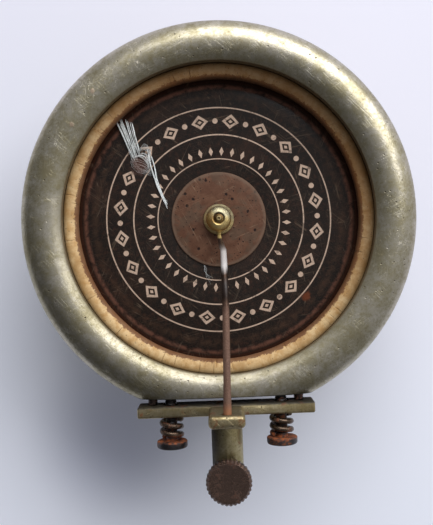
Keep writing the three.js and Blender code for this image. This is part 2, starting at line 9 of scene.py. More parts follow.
import bmesh
import bpy
import numpy as np
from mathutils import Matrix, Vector


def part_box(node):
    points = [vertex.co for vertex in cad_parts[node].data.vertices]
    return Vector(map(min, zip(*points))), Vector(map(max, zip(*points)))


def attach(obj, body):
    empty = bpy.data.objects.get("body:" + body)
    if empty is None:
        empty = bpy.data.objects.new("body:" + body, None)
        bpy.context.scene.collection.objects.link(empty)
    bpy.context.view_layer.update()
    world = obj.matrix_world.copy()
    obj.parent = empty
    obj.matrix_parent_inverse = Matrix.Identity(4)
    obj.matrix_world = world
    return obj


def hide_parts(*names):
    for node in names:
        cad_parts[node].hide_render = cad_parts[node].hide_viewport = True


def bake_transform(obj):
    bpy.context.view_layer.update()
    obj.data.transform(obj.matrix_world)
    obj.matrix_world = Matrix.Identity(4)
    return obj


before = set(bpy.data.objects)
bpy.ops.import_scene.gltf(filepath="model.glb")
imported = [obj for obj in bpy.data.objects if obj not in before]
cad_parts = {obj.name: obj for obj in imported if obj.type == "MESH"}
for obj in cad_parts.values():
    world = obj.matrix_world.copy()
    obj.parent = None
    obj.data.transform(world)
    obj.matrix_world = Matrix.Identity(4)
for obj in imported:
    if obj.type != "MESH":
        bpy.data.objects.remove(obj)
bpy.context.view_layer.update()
MM = 0.001


def span(node):
    """Lowest and highest corner of a frame node, in millimetres."""
    low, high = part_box(node)
    return low / MM, high / MM


# Sizes taken from the frame's nodes
case_low, case_high = span("body_shell")
CASE_R = (case_high.x - case_low.x) / 2
AXIS_Y = case_high.y - CASE_R
FLAT_Y, REAR_Z, CREST_Z = case_low.y, case_low.z, case_high.z
mica_top = span("diaphragm")[1].z
bar_low, bar_high = span("crossbar")
screw_low, screw_high = span("left_tension_screw")
holder_low, holder_high = span("needle_holder")
thumb_low, thumb_high = span("needle_thumbscrew")
plate_low, plate_high = span("back_plate")
rod_high = span("stylus_bar")[1]
pivot_low, pivot_high = span("left_pivot")
clamp_low, clamp_high = span("isolator_clamp_ring")
collar_low, collar_high = span("tone_arm_collar")
isolator_low, isolator_high = span("rubber_isolator")
PIVOT_Z = (pivot_low.z + pivot_high.z) / 2
PIVOT_X = abs(pivot_low.x + pivot_high.x) / 2
TENSION_X = abs(screw_low.x + screw_high.x) / 2

# Small sizes of the dressed pieces
CASE_WALL, BEZEL_W, BEZEL_RISE, LIP = 5.3, 6.35, 2.6, 0.65
CREST_IN, INNER_TILT, UNDERCUT = 3.55, math.radians(38), 0.2
OPENING_R, CHAMBER_R = CASE_R - BEZEL_W, CASE_R - CASE_WALL
CREST_R = CASE_R - CREST_IN
BEZEL_Z = CREST_Z - BEZEL_RISE
GASKET_R, GASKET_TUBE = 23.0, 1.39
HUB_HOLE, BOLT_R, HUB_HEAD_R = 0.87, 0.75, 1.7
PLATE_T, TONGUE_W, TONGUE_T = 1.7, 5.2, 1.9
PLATE_HOLE_R, TANG_R, TANG_HOLE_R, CONE_DEEP, CONE_GAP = 1.25, 1.4, 1.6, 0.6, 0.12
SHANK_R, HEAD_R, HEAD_T = 0.9, 2.3, 1.1
WIRE, COIL_R, COIL_TURNS = 0.84, 1.42, 2.55
HOLDER_R, BORE_R, BORE_DEEP, SEAT_LONG = 2.35, 0.85, 10, 5.2
THUMB_R, THUMB_T, TEETH, TOOTH_DEPTH = 3.4, 1.9, 32, 0.16
NECK_R, NECK_T, STEM_R, STEM_HOLE_R = 1.6, 0.6, 1.0, 1.2
ROOT_R, MIDDLE_R, EYE_R = 0.6, 0.4, 1.75
BACK_CIRCLE, BACK_ANGLES = 27.35, (90, 210, 330)
CLAMP_CIRCLE, CLAMP_ANGLES = 20.5, (30, 150, 270)
BACK_SHANK_R, BACK_HEAD_R, BACK_HEAD_T, SCREW_HOLE_R = 0.9, 1.75, 1.1, 1.1
PIN_R, PIN_HOLE_R, PIN_HOLE_DEEP, SCREW_HOLE_DEEP = 0.7, 0.9, 2.8, 3.7
THROAT_R, PLATE_STEP, PLATE_RIM_T = 8.0, 0.8, 1.5
COLLAR_BORE_R, COLLAR_WALL_R, COLLAR_FLANGE_T = 11.2, 12.3, 1.2
ISOLATOR_REAR_R, ISOLATOR_REAR_T, ISOLATOR_FRONT_T = 12.85, 1.5, 1.7
CLAMP_LIP_R, CLAMP_SHEET, CLAMP_FOOT = 13.4, 0.9, 4.2
SLOT_REACH = 4.0

# Single marks, as places from the axis and their sizes, and the fibre disc's pits
CASE_BLISTERS = ((-18.1, 19.4, 0.5), (-21.4, 14.6, 0.45))
TORN_PLACE, TORN_BRUISE, SPLINTER_RUST = (-12.4, 9.6, 2.6), (-11.9, 9.1, 1.9), (-12.2, 9.0, 1.6)
DISC_RUST = (13.3, -12.6, 0.9)
FIBRE_PITS = ((-1.8, 6.2), (-2.8, 6.4), (-5.1, 4.2), (-3.9, 3.3), (-4.9, 2.3), (1.3, 3.9),
              (2.2, 3.1), (4.6, 1.1), (5.9, 4.1), (5.6, -1.9), (-4.1, -1.5), (-3.3, -4.5))

# The camera's place over the table, its roll and its lens
CAMERA_X, CAMERA_Y, CAMERA_Z = -0.605, -0.58, 141.9
CAMERA_ROLL = math.radians(2.2)
LENS = 53.2

# The camera's picture at the diaphragm's height, and the torn place's strands in its pixels.
# A fan of strands has the route of its first strand and that of its last one.
PICTURE_MIDDLE, PIXELS_PER_MM = (216.5, 262.5), 6.33
BUNDLE_TOP, BUNDLE_MIDDLE, BUNDLE_FOOT = (125, 121), (130, 137), (137, 154)
LOBE_RIM = (((133, 156), (131.5, 164.5), (137, 172), (145, 174.5), (155, 176.5)),
            ((135, 159), (137.5, 165.5), (142, 169), (148, 171), (153, 171.5)))
LOBE_LOW_WEFT = (((132.5, 157), (139, 157.5), (146, 161.5), (151.5, 169)),
                 ((139.5, 169), (143, 169.5), (148, 172.5), (152.5, 175)))
LOBE_HIGH_WEFT = (((133, 158.5), (140, 158), (147, 163.5), (149, 171)),
                  ((142, 153.5), (146, 154), (149.5, 158.5), (152, 163)))
LOBE_TOP = (((139, 151), (145, 145), (150, 149.5), (152, 161)),
            ((141, 151), (145, 150.6), (148.8, 153.5), (150.4, 161)))
SPLINTER_ROOT, SPLINTER_NECK, SPLINTER_MEETING = (149.9, 153.5), (153.4, 168), (156.7, 181)
SPLINTER_BEND, SPLINTER_TIP = (162, 195), (167.5, 208)
SCRATCH = (((203, 263), (206.5, 269), (206, 275), (211, 284)),
           ((205, 267), (204.5, 271), (208, 275), (213, 278)))


# Values and nodes


def operation(kind, turned=False):
    """A method for one kind of maths. Turned, the value itself comes last."""

    def method(self, other):
        values = (other, self) if turned else (self, other)
        return self.tree.maths(kind, *values)

    return method


class Value:
    """One socket of a node tree, with plain arithmetic."""

    __add__ = __radd__ = operation("ADD")
    __sub__, __rsub__ = operation("SUBTRACT"), operation("SUBTRACT", True)
    __mul__ = __rmul__ = operation("MULTIPLY")
    __truediv__, __rtruediv__ = operation("DIVIDE"), operation("DIVIDE", True)
    __pow__, most, least = operation("POWER"), operation("MAXIMUM"), operation("MINIMUM")

    def __init__(self, tree, socket):
        self.tree, self.socket = tree, socket

    def maths(self, kind, *others, clamp=False):
        return self.tree.maths(kind, self, *others, clamp=clamp)

    def __abs__(self):
        return self.maths("ABSOLUTE")

    def clamped(self):
        return self.maths("ADD", 0.0, clamp=True)

    def step(self, low, high):
        """0 below low and 1 above high, smooth between. It falls where low is above high."""
        flip = low > high
        a, b = (high, low) if flip else (low, high)
        settings = {"interpolation_type": "SMOOTHSTEP", "clamp": True}
        inputs = {"Value": self, "From Min": a, "From Max": b, "To Min": 0.0, "To Max": 1.0}
        made = self.tree.node("ShaderNodeMapRange", settings, inputs)
        return 1 - made if flip else made

    def bump_at(self, centre, width):
        """1 at centre, falling to 0 at that distance each way."""
        return abs(self - centre).step(width, 0.0)


class Tree:
    """A node tree with one call that makes any node."""

    def __init__(self, tree):
        self.nodes = tree.nodes
        self.links = tree.links

    def node(self, kind, settings=None, inputs=None, output=0):
        made = self.nodes.new(kind)
        for name, value in (settings or {}).items():
            setattr(made, name, value)
        for key, value in (inputs or {}).items():
            self.feed(self.find(made.inputs, key), value)
        return Value(self, self.find(made.outputs, output)) if made.outputs else None

    @staticmethod
    def find(sockets, key):
        if isinstance(key, int):
            return sockets[key]
        for socket in sockets:
            if socket.identifier == key:
                return socket
        return sockets[key]

    def feed(self, socket, value):
        if isinstance(value, Value):
            self.links.new(value.socket, socket)
        elif value is not None:
            socket.default_value = value

    def maths(self, kind, *values, clamp=False):
        settings = {"operation": kind, "use_clamp": clamp}
        return self.node("ShaderNodeMath", settings, dict(enumerate(values)))

    def vector(self, x, y, z):
        return self.node("ShaderNodeCombineXYZ", {}, {0: x, 1: y, 2: z})

    def parts(self, vector):
        made = self.node("ShaderNodeSeparateXYZ", {}, {0: vector})
        return [Value(self, s) for s in made.socket.node.outputs]

    def along(self, vector, kind, other):
        """Vector maths with one other vector or a plain triple."""
        return self.node("ShaderNodeVectorMath", {"operation": kind}, {0: vector, 1: other})


class Look(Tree):
    """A material, mixed from values that follow the piece's own coordinates in millimetres."""

    def __init__(self, name, seed=0.0):
        self.material = bpy.data.materials.new(name)
        self.material.use_nodes = True
        super().__init__(self.material.node_tree)
        self.nodes.clear()
        raw = self.node("ShaderNodeTexCoord", {}, {}, "Object")
        self.place = self.along(raw, "MULTIPLY", (1 / MM,) * 3)
        self.x, self.y, self.z = self.parts(self.place)
        self.seed = seed

    def noise(self, scale, detail=3.0, rough=0.55, twist=0.0, at=None, shift=0.0):
        vector = self.along(at or self.place, "ADD", (self.seed + shift, shift * 1.7, -shift))
        return self.node("ShaderNodeTexNoise", {"noise_dimensions": "3D"},
                         {"Vector": vector, "Scale": scale, "Detail": detail, "Roughness": rough,
                          "Distortion": twist}, "Fac")

    def specks(self, scale, shift, edge, share):
        """Scattered specks: 1 on a speck. The share picks the cells that have one."""
        vector = self.along(self.place, "ADD", (self.seed + shift, shift, shift))
        far = self.node("ShaderNodeTexVoronoi", {"feature": "F1", "voronoi_dimensions": "3D"},
                        {"Vector": vector, "Scale": scale, "Randomness": 1.0}, "Distance")
        chance = self.parts(Value(self, self.find(far.socket.node.outputs, "Color")))[0]
        return far.step(*edge) * chance.step(*share)

    def scratches(self, *strokes):
        """Thin straight scratches: 1 on a scratch.

        A stroke is (degrees, width, stretch along, stretch across, shift).
        """
        total = 0
        for degrees, width, length, across, shift in strokes:
            a = math.radians(degrees)
            u = self.x * math.cos(a) + self.y * math.sin(a)
            v = self.y * math.cos(a) - self.x * math.sin(a)
            at = self.vector(u * length, v * across, self.z * across)
            line = self.noise(1.0, 1.0, 0.4, at=at, shift=shift)
            broken = self.noise(0.35, 2.0, shift=shift + 9)
            total = abs(line - 0.5).step(width, 0.0) * broken.step(0.5, 0.62) + total
        return total.clamped()

    def away(self, x=0.0, y=0.0):
        """Distance from the case's axis, or from a place given from it."""
        u, v = self.x - x, self.y - (AXIS_Y + y)
        return (u * u + v * v).maths("SQRT")

    def near(self, x, y, size):
        """1 round a place given from the axis, ragged at its edge."""
        ragged = self.noise(1.6, 5.0, 0.7, shift=31) - 0.5
        return (self.away(x, y) + ragged * size * 1.6).step(size, size * 0.4)

    def spots(self, places, size):
        """1 in each small round pit, at places given from the axis."""
        nearest = self.away(*places[0])
        for place in places[1:]:
            nearest = nearest.least(self.away(*place))
        ragged = self.noise(3.0, 3.0, 0.7, shift=33) - 0.5
        return (nearest + ragged * size).step(size, size * 0.5)

    def mix(self, factor, a, b, blend="MIX"):
        """Tone a where the factor is 0 and tone b where it is 1."""
        settings = {"data_type": "RGBA", "blend_type": blend, "clamp_factor": True}
        inputs = {"Factor_Float": factor, "A_Color": colour(a), "B_Color": colour(b)}
        return self.node("ShaderNodeMix", settings, inputs, "Result_Color")

    def layers(self, base, *coats):
        """A base tone with coats over it. A coat is how strongly it covers, and its tone."""
        for factor, tone in coats:
            base = self.mix(factor, base, tone)
        return base

    def bump(self, height, depth):
        """A normal from a height between 0 and 1, for a depth in millimetres."""
        inputs = {"Strength": 1.0, "Distance": depth * MM, "Height": height}
        return self.node("ShaderNodeBump", {}, inputs)

    def done(self, base, rough, metal=0.0, normal=None, coat=0.0, **fixed):
        inputs = {"Base Color": colour(base), "Roughness": rough, "Metallic": metal,
                  "Coat Weight": coat, "Normal": normal}
        inputs.update({name.replace("_", " "): v for name, v in fixed.items()})
        shader = self.node("ShaderNodeBsdfPrincipled", {}, inputs)
        self.node("ShaderNodeOutputMaterial", {}, {"Surface": shader})
        return self.material


def colour(value):
    """A socket's value from a triple of sRGB levels. Another node's value is passed on."""
    if isinstance(value, Value) or value is None:
        return value
    return [*(linear(v) for v in value), 1.0]


def linear(level):
    """Linear light from an sRGB level of 0 to 255."""
    share = level / 255
    return share / 12.92 if share <= 0.04045 else ((share + 0.055) / 1.055) ** 2.4


# Shapes


def mesh_of(points, faces, name="shape"):
    mesh = bpy.data.meshes.new(name)
    mesh.from_pydata((np.asarray(points, float) * MM).tolist(), [], faces)
    work = bmesh.new()
    work.from_mesh(mesh)
    bmesh.ops.recalc_face_normals(work, faces=work.faces)
    work.to_mesh(mesh)
    work.free()
    return mesh


def fillet(corners, steps=4):
    """A closed profile's points from corners (radius, height, rounding)."""
    made = []
    count = len(corners)
    for i, corner in enumerate(corners):
        here = np.array(corner[:2], float)
        size = corner[2] if len(corner) > 2 else 0
        if not size:
            made.append(tuple(here))
            continue
        before = np.array(corners[i - 1][:2], float) - here
        after = np.array(corners[(i + 1) % count][:2], float) - here
        u, v = before / np.linalg.norm(before), after / np.linalg.norm(after)
        half = math.acos(max(-1, min(1, float(u @ v)))) / 2
        reach = size / math.tan(half)
        centre = here + (u + v) / np.linalg.norm(u + v) * size / math.sin(half)
        a, b = here + u * reach - centre, here + v * reach - centre
        turn = math.pi - 2 * half
        for k in range(steps + 1):
            t = k / steps
            way = (math.sin((1 - t) * turn) * a + math.sin(t * turn) * b) / math.sin(turn)
            made.append(tuple(centre + way))
    return made


def quarter(radius, height, across, up, start, steps=20):
    """A quarter of an ellipse as profile points, from a start in degrees."""
    turns = [math.radians(start + 90 * i / steps) for i in range(steps + 1)]
    return [(radius + across * math.cos(t), height + up * math.sin(t)) for t in turns]


def lathe(profile, steps, x=0.0, y=0.0, z=0.0, axis="z", closed=True):
    """A turned shape from (radius, height) points round an axis through (x, y, z)."""
    turns = np.arange(steps) * 2 * math.pi / steps
    points, rows = [], []
    for radius, height in profile:
        if radius < 1e-6:
            rows.append([len(points)] * steps)
            ring = np.array([[0.0, 0.0, height]])
        else:
            rows.append(list(range(len(points), len(points) + steps)))
            ring = np.stack([radius * np.cos(turns), radius * np.sin(turns),
                             np.full(steps, height)], 1)
        points.extend(ring.tolist())
    faces = []
    last = len(profile) if closed else len(profile) - 1
    for i in range(last):
        low, high = rows[i], rows[(i + 1) % len(profile)]
        for k in range(steps):
            n = (k + 1) % steps
            loop = [low[k], low[n], high[n], high[k]]
            loop = [v for j, v in enumerate(loop) if v != loop[j - 1]]
            if len(loop) > 2:
                faces.append(loop)
    points = np.array(points)
    if axis == "y":
        points = points[:, [0, 2, 1]]
    return mesh_of(points + np.array([x, y, z]), faces)


def rod(radius, low, high, x=0.0, y=0.0, z=0.0, axis="z", steps=32):
    profile = [(0, low), (radius, low), (radius, high), (0, high)]
    return lathe(profile, steps, x, y, z, axis, closed=False)


def rods_on_circle(radius, low, high, circle, angles, steps=32):
    """Rods along Z, at angles in degrees on a circle round the case's axis."""
    turns = [math.radians(angle) for angle in angles]
    return [rod(radius, low, high, circle * math.cos(a), AXIS_Y + circle * math.sin(a),
                steps=steps) for a in turns]


def block(low, high):
    corners = [(x, y, z) for x in (low[0], high[0]) for y in (low[1], high[1])
               for z in (low[2], high[2])]
    faces = [(0, 1, 3, 2), (4, 6, 7, 5), (0, 4, 5, 1), (2, 3, 7, 6), (0, 2, 6, 4), (1, 5, 7, 3)]
    return mesh_of(corners, faces)


def joined(*meshes):
    work = bmesh.new()
    for mesh in meshes:
        work.from_mesh(mesh)
    made = bpy.data.meshes.new("joined")
    work.to_mesh(made)
    work.free()
    return made


def held(data, name="held"):
    """A new object of the scene with this data."""
    made = bpy.data.objects.new(name, data)
    bpy.context.scene.collection.objects.link(made)
    return made


def settled(obj):
    """The object's mesh with its modifiers worked out. The object itself goes."""
    graph = bpy.context.evaluated_depsgraph_get()
    mesh = bpy.data.meshes.new_from_object(obj.evaluated_get(graph))
    bpy.data.objects.remove(obj)
    return mesh


def carved(mesh, *tools, operation="DIFFERENCE"):
    base, tool = held(mesh), held(joined(*tools))
    cutter = base.modifiers.new("cut", "BOOLEAN")
    cutter.operation, cutter.object, cutter.solver = operation, tool, "EXACT"
    made = settled(base)
    bpy.data.objects.remove(tool)
    return made


def softened(mesh, width, degrees=40, segments=2):
    """The mesh with a small rounding on its sharp edges."""
    base = held(mesh)
    bevel = base.modifiers.new("soft edges", "BEVEL")
    bevel.width, bevel.segments = width * MM, segments
    bevel.limit_method, bevel.angle_limit = "ANGLE", math.radians(degrees)
    return settled(base)


def moved(mesh, change):
    """The mesh with each point changed by a function of its places in millimetres."""
    count = len(mesh.vertices)
    flat = np.zeros(count * 3)
    mesh.vertices.foreach_get("co", flat)
    points = change(flat.reshape(-1, 3) / MM) * MM
    mesh.vertices.foreach_set("co", points.ravel())
    mesh.update()
    return mesh


def piece(name, mesh, body, look, slot, *nodes, sharp=35):
    """A finished piece of the soundbox. It stands for the frame's nodes and rides on a body."""
    mesh.name = name
    mesh.materials.clear()
    mesh.materials.append(look)
    mesh.shade_smooth()
    mesh.set_sharp_from_angle(angle=math.radians(sharp))
    made = held(mesh, name)
    if nodes:
        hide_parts(*nodes)
    if body:
        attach(made, body)
    return made


# Shapes that repeat or follow a path


class Recipe(Tree):
    """A geometry node group with named inputs."""

    KINDS = {int: "NodeSocketInt", float: "NodeSocketFloat"}

    def __init__(self, name, **inputs):
        self.group = bpy.data.node_groups.new(name, "GeometryNodeTree")
        face = self.group.interface
        face.new_socket("Geometry", in_out="INPUT", socket_type="NodeSocketGeometry")
        for key, value in inputs.items():
            face.new_socket(key, in_out="INPUT", socket_type=self.KINDS[type(value)])
        face.new_socket("Material", in_out="INPUT", socket_type="NodeSocketMaterial")
        face.new_socket("Geometry", in_out="OUTPUT", socket_type="NodeSocketGeometry")
        super().__init__(self.group)
        self.start = self.nodes.new("NodeGroupInput")
        self.values = inputs

    def given(self, name):
        return Value(self, self.start.outputs[name])

    def rods(self, curve, sides, radius, scale):
        """Round rods along a curve, scaled at each of its points."""
        ring = self.node("GeometryNodeCurvePrimitiveCircle", {"mode": "RADIUS"},
                         {"Resolution": sides, "Radius": radius})
        inputs = {"Curve": curve, "Profile Curve": ring, "Scale": scale, "Fill Caps": True}
        return self.node("GeometryNodeCurveToMesh", {}, inputs)

    def points(self, count):
        """That many points at the origin."""
        inputs = {"Count": count, "Offset": (0, 0, 0)}
        return self.node("GeometryNodeMeshLine", {"mode": "OFFSET"}, inputs)

    def placed(self, geometry, position):
        inputs = {"Geometry": geometry, "Position": position}
        return self.node("GeometryNodeSetPosition", {}, inputs)

    def finish(self, geometry):
        whole = self.node("GeometryNodeRealizeInstances", {}, {0: geometry})
        painted = self.node("GeometryNodeSetMaterial", {},
                            {"Geometry": whole, "Material": self.given("Material")})
        self.node("NodeGroupOutput", {}, {0: painted})
        return self

    def made(self, mesh, look, **changes):
        """The mesh that this recipe makes from another, with these values."""
        obj = held(mesh)
        modifier = obj.modifiers.new("recipe", "NODES")
        modifier.node_group = self.group
        for item in self.group.interface.items_tree:
            if item.in_out == "INPUT" and item.name in self.values:
                modifier[item.identifier] = changes.get(item.name, self.values[item.name])
            if item.name == "Material":
                modifier[item.identifier] = look
        return settled(obj)


def swept_recipe():
    """Lines of points become round rods, as thick as their points say."""
    recipe = Recipe("swept_rod", Sides=12)
    curve = recipe.node("GeometryNodeMeshToCurve", {}, {"Mesh": recipe.given("Geometry")})
    size = recipe.node("GeometryNodeInputNamedAttribute", {"data_type": "FLOAT"},
                       {"Name": "thickness"})
    return recipe.finish(recipe.rods(curve, recipe.given("Sides"), 1.0, size))


def spring_recipe():
    """A coil spring along Z whose wire eases flat at both ends."""
    recipe = Recipe("coil_spring", Turns=COIL_TURNS, Radius=COIL_R, Wire=WIRE, Height=3.6,
                    Points=160)
    count = recipe.given("Points")
    share = recipe.node("GeometryNodeInputIndex") / (count - 1.0)
    angle = share * recipe.given("Turns") * (2 * math.pi)
    rise = recipe.given("Height") - recipe.given("Wire")
    eased = share.step(0.0, 1.0)
    height = (share * 0.72 + eased * 0.28) * rise - rise * 0.5
    radius = recipe.given("Radius")
    spot = recipe.vector(angle.maths("COSINE") * radius * MM, angle.maths("SINE") * radius * MM,
                         height * MM)
    coil = recipe.placed(recipe.points(count), spot)
    curve = recipe.node("GeometryNodeMeshToCurve", {}, {"Mesh": coil})
    taper = share.least(1 - share).step(0.0, 0.035) * 0.35 + 0.65
    return recipe.finish(recipe.rods(curve, 14, recipe.given("Wire") * (MM / 2), taper))


def toothed_recipe():
    """Teeth cut into a turned rim round the Z axis."""
    recipe = Recipe("toothed_rim", Teeth=TEETH, Depth=TOOTH_DEPTH, Rim=THUMB_R)
    x, y, z = recipe.parts(recipe.node("GeometryNodeInputPosition"))
    radius = (x * x + y * y).maths("SQRT")
    angle = y.maths("ARCTAN2", x) / (2 * math.pi) * recipe.given("Teeth") + 0.25
    wave = angle.maths("PINGPONG", 0.5) * 2.0
    near = ((radius / MM) / recipe.given("Rim")).step(0.84, 0.95)
    valley = (1 - wave) ** 1.4
    share = 1 - valley * near * recipe.given("Depth") / (radius / MM).most(0.1)
    spot = recipe.vector(x * share, y * share, z)
    return recipe.finish(recipe.placed(recipe.given("Geometry"), spot))


def ringed_recipe():
    """Copies of a screw at equal steps on two circles round the Z axis."""
    recipe = Recipe("screws_on_circles", Count=3, OuterRadius=BACK_CIRCLE, OuterHeight=0.0,
                    OuterStart=float(BACK_ANGLES[0]), InnerRadius=CLAMP_CIRCLE, InnerHeight=0.0,
                    InnerStart=float(CLAMP_ANGLES[0]), Turn=0.7)
    rings = []
    for ring in ("Outer", "Inner"):
        index, count = recipe.node("GeometryNodeInputIndex"), recipe.given("Count")
        start = recipe.given(ring + "Start") * (math.pi / 180)
        angle = index / count * (2 * math.pi) + start
        radius = recipe.given(ring + "Radius") * MM
        spot = recipe.vector(angle.maths("COSINE") * radius, angle.maths("SINE") * radius,
                             recipe.given(ring + "Height") * MM)
        spots = recipe.placed(recipe.points(count), spot)
        twist = recipe.vector(0.0, 0.0, index * recipe.given("Turn") + angle)
        inputs = {"Points": spots, "Instance": recipe.given("Geometry"), "Rotation": twist}
        rings.append(recipe.node("GeometryNodeInstanceOnPoints", {}, inputs))
    both = recipe.nodes.new("GeometryNodeJoinGeometry")
    for ring in rings:
        recipe.links.new(ring.socket, both.inputs[0])
    return recipe.finish(Value(recipe, both.outputs[0]))


def lines_of(paths):
    """Several lines of (points, thicknesses) as one mesh of edges, in millimetres."""
    points, edges, sizes = [], [], []
    for route, thick in paths:
        first = len(points)
        points.extend(route)
        sizes.extend(thick)
        edges.extend((first + i, first + i + 1) for i in range(len(route) - 1))
    mesh = bpy.data.meshes.new("lines")
    mesh.from_pydata((np.array(points) * MM).tolist(), edges, [])
    thickness = mesh.attributes.new("thickness", "FLOAT", "POINT")
    thickness.data.foreach_set("value", (np.array(sizes) * MM).astype(np.float32))
    return mesh


def between(u, low, high, a, b):
    """The point at u on the way from a, at low, to b, at high."""
    return (high - u) / (high - low) * a + (u - low) / (high - low) * b


def smooth_route(points, count):
    """Points at equal steps on a smooth curve through the given ones."""
    fixed = np.array(points, float)
    ends = [2 * fixed[0] - fixed[1], 2 * fixed[-1] - fixed[-2]]
    knots = np.vstack([ends[0], fixed, ends[1]])
    dense = []
    for i in range(len(fixed) - 1):
        p = knots[i : i + 4]
        t = [0.0]
        for k in range(3):
            t.append(t[-1] + math.sqrt(np.linalg.norm(p[k + 1] - p[k])))
        for u in np.linspace(t[1], t[2], 40, endpoint=i == len(fixed) - 2):
            a = [between(u, t[k], t[k + 1], p[k], p[k + 1]) for k in range(3)]
            b = [between(u, t[k], t[k + 2], a[k], a[k + 1]) for k in range(2)]
            dense.append(between(u, t[1], t[2], *b))
    dense = np.array(dense)
    steps = np.linalg.norm(np.diff(dense, axis=0), axis=1)
    far = np.concatenate([[0], np.cumsum(steps)])
    wanted = np.linspace(0, far[-1], count)
    return np.stack([np.interp(wanted, far, dense[:, k]) for k in range(3)], 1)


# Looks


def nickel(name, seed, wear=1.0, rust=0.0, tint=None, round_case=False, dark=None):
    """Dull plated nickel with cloudy tarnish, fine scratches, pits and grime.

    A tint is laid over all of it. A dark part is an axis, and the two places along it
    between which the plate is painted nearly black, as painted shade. On the round case,
    painted shade darkens the opening's edge, the inner slope and the side towards the rear,
    and two blisters get a painted highlight.
    """
    look = Look(name, seed)
    cloud = look.noise(0.11, 4.0, 0.6, 0.4)
    patch = look.noise(0.55, 5.0, 0.62, 0.2, shift=3)
    grain = look.noise(6.5, 4.0, 0.7, shift=5)
    mottle = look.noise(2.3, 4.0, 0.66, 0.3, shift=15)
    dulled = (cloud * 0.45 + patch * 0.3 + mottle * 0.25).step(0.40, 0.62)
    fine = look.scratches((28, 0.02, 0.06, 2.4, 1), (-47, 0.018, 0.05, 2.0, 4),
                          (83, 0.016, 0.07, 2.6, 7))
    pit = look.specks(1.15, 2, (0.17, 0.09), (0.62, 0.7))
    speck = look.specks(3.4, 8, (0.24, 0.12), (0.55, 0.7))
    grime = (patch.step(0.55, 0.75) * 0.5 + cloud.step(0.56, 0.74) * 0.5) * wear
    clean = look.mix(patch.step(0.3, 0.7), (188, 184, 172), (176, 171, 153))
    base = look.layers(
        clean, (dulled, (150, 144, 118)), (mottle.step(0.5, 0.68) * 0.34, (128, 120, 94)),
        (grime * 0.55, (112, 101, 76)), (grain.step(0.54, 0.72) * 0.36 * wear, (92, 82, 60)),
        (speck * 0.55 * wear, (64, 54, 38)), (pit * 0.8, (44, 34, 24)),
        (fine * 0.22, (226, 222, 208)))
    dirt_and_shade = pit * 0.5 + speck * 0.3
    if round_case:
        radius = look.away()
        ragged = patch * 0.5
        # Painted shade: darker at the opening's edge, over the inner slope and on the side towards
        # the rear, beside the table.
        inner = (radius + ragged).step(OPENING_R + 0.55, OPENING_R + 0.2)
        slope = (radius + ragged).step(CREST_R - 0.9, OPENING_R + 0.3)
        skirt = (look.z - patch * 1.6).step(REAR_Z + 2.2, REAR_Z - 0.2)
        dirt_and_shade = (dirt_and_shade + inner * 0.6 + slope * 0.3 + skirt * 0.4).clamped()
        one, other = CASE_BLISTERS
        # The blisters are raised by the bump and painted lighter, a painted highlight.
        blister_highlight = look.near(*one).most(look.near(*other))
        base = look.layers(
            base, (inner * 0.6, (92, 76, 50)), (slope * 0.4, (112, 104, 80)),
            (skirt * 0.55, (74, 66, 48)), (blister_highlight * 0.6, (196, 170, 150)))
        mottle = mottle + blister_highlight * 1.5
    # A dark part: painted shade, nearly black.
    if dark:
        axis, bare, black = dark
        shaded = getattr(look, axis).step(bare, black) * (1.0 - patch.step(0.45, 0.8) * 0.3)
        base = look.mix(shaded * 0.94, base, (22, 19, 18))
        dirt_and_shade = (dirt_and_shade + shaded * 0.9).clamped()
    if rust:
        bloom = look.noise(0.5, 6.0, 0.68, 0.5, shift=12)
        rusty = bloom.step(0.62 - 0.14 * rust, 0.76 - 0.14 * rust)
        tone = look.mix(grain.step(0.35, 0.7), (92, 50, 26), (134, 74, 36))
        base = look.mix(rusty * 0.8, base, tone)
        dirt_and_shade = (dirt_and_shade + rusty * 0.8).clamped()
    cloudy = mottle.step(0.45, 0.7) + grain.step(0.4, 0.8)
    rough = 0.27 + dulled * 0.07 + cloudy * 0.05 + grime * 0.1 + dirt_and_shade * 0.25
    metal = (1.0 - grime * 0.18 - dirt_and_shade * 0.55).clamped()
    height = grain * 0.35 + patch * 0.3 + mottle * 0.5 - pit * 1.3 - speck * 0.4 - fine * 0.4
    normal = look.bump(height, 0.022 * wear)
    if tint:
        base = look.mix(1.0, base, tint, "MULTIPLY")
    return look.done(base, rough, metal, normal)


def steel(name, seed, dark, rust_share, orange=0.5, shine=0.35, fresh=None):
    """Steel with rust on it, from bare dark metal to a rough brown crust.

    Fresh rust is a pair of places along Y between which the piece turns bright orange.
    """
    look = Look(name, seed)
    broad = look.noise(0.42, 5.0, 0.65, 0.6)
    crust = look.noise(2.1, 6.0, 0.72, 0.3, shift=4)
    grain = look.noise(9.0, 4.0, 0.75, shift=6)
    edge = 0.66 - 0.34 * rust_share
    rusty = (broad * 0.6 + crust * 0.4).step(edge, edge + 0.1)
    tone = look.layers(
        (44, 30, 23), (crust.step(0.35, 0.66), (84, 52, 36)),
        ((broad * crust).step(0.22, 0.36) * orange, (158, 84, 38)))
    bare = look.layers(
        dark, (grain.step(0.35, 0.7), [c * 1.5 + 12 for c in dark]),
        (crust.step(0.5, 0.72) * 0.6, (50, 38, 30)))
    base = look.mix(rusty, bare, tone)
    if fresh:
        bloom = look.y.bump_at(*fresh) * (crust * 0.5 + broad * 0.5).step(0.38, 0.52)
        bright = look.mix(crust.step(0.36, 0.6), (82, 50, 36), (164, 88, 42))
        base = look.mix(bloom, base, bright)
        rusty = (rusty + bloom).clamped()
    rough = 0.34 + rusty * 0.42 + grain * 0.16 - (1 - rusty) * shine * 0.3
    metal = (0.9 - rusty * 0.8).clamped()
    height = crust * 0.6 + grain * 0.4 + rusty * 0.35
    return look.done(base, rough, metal, look.bump(height, 0.05))


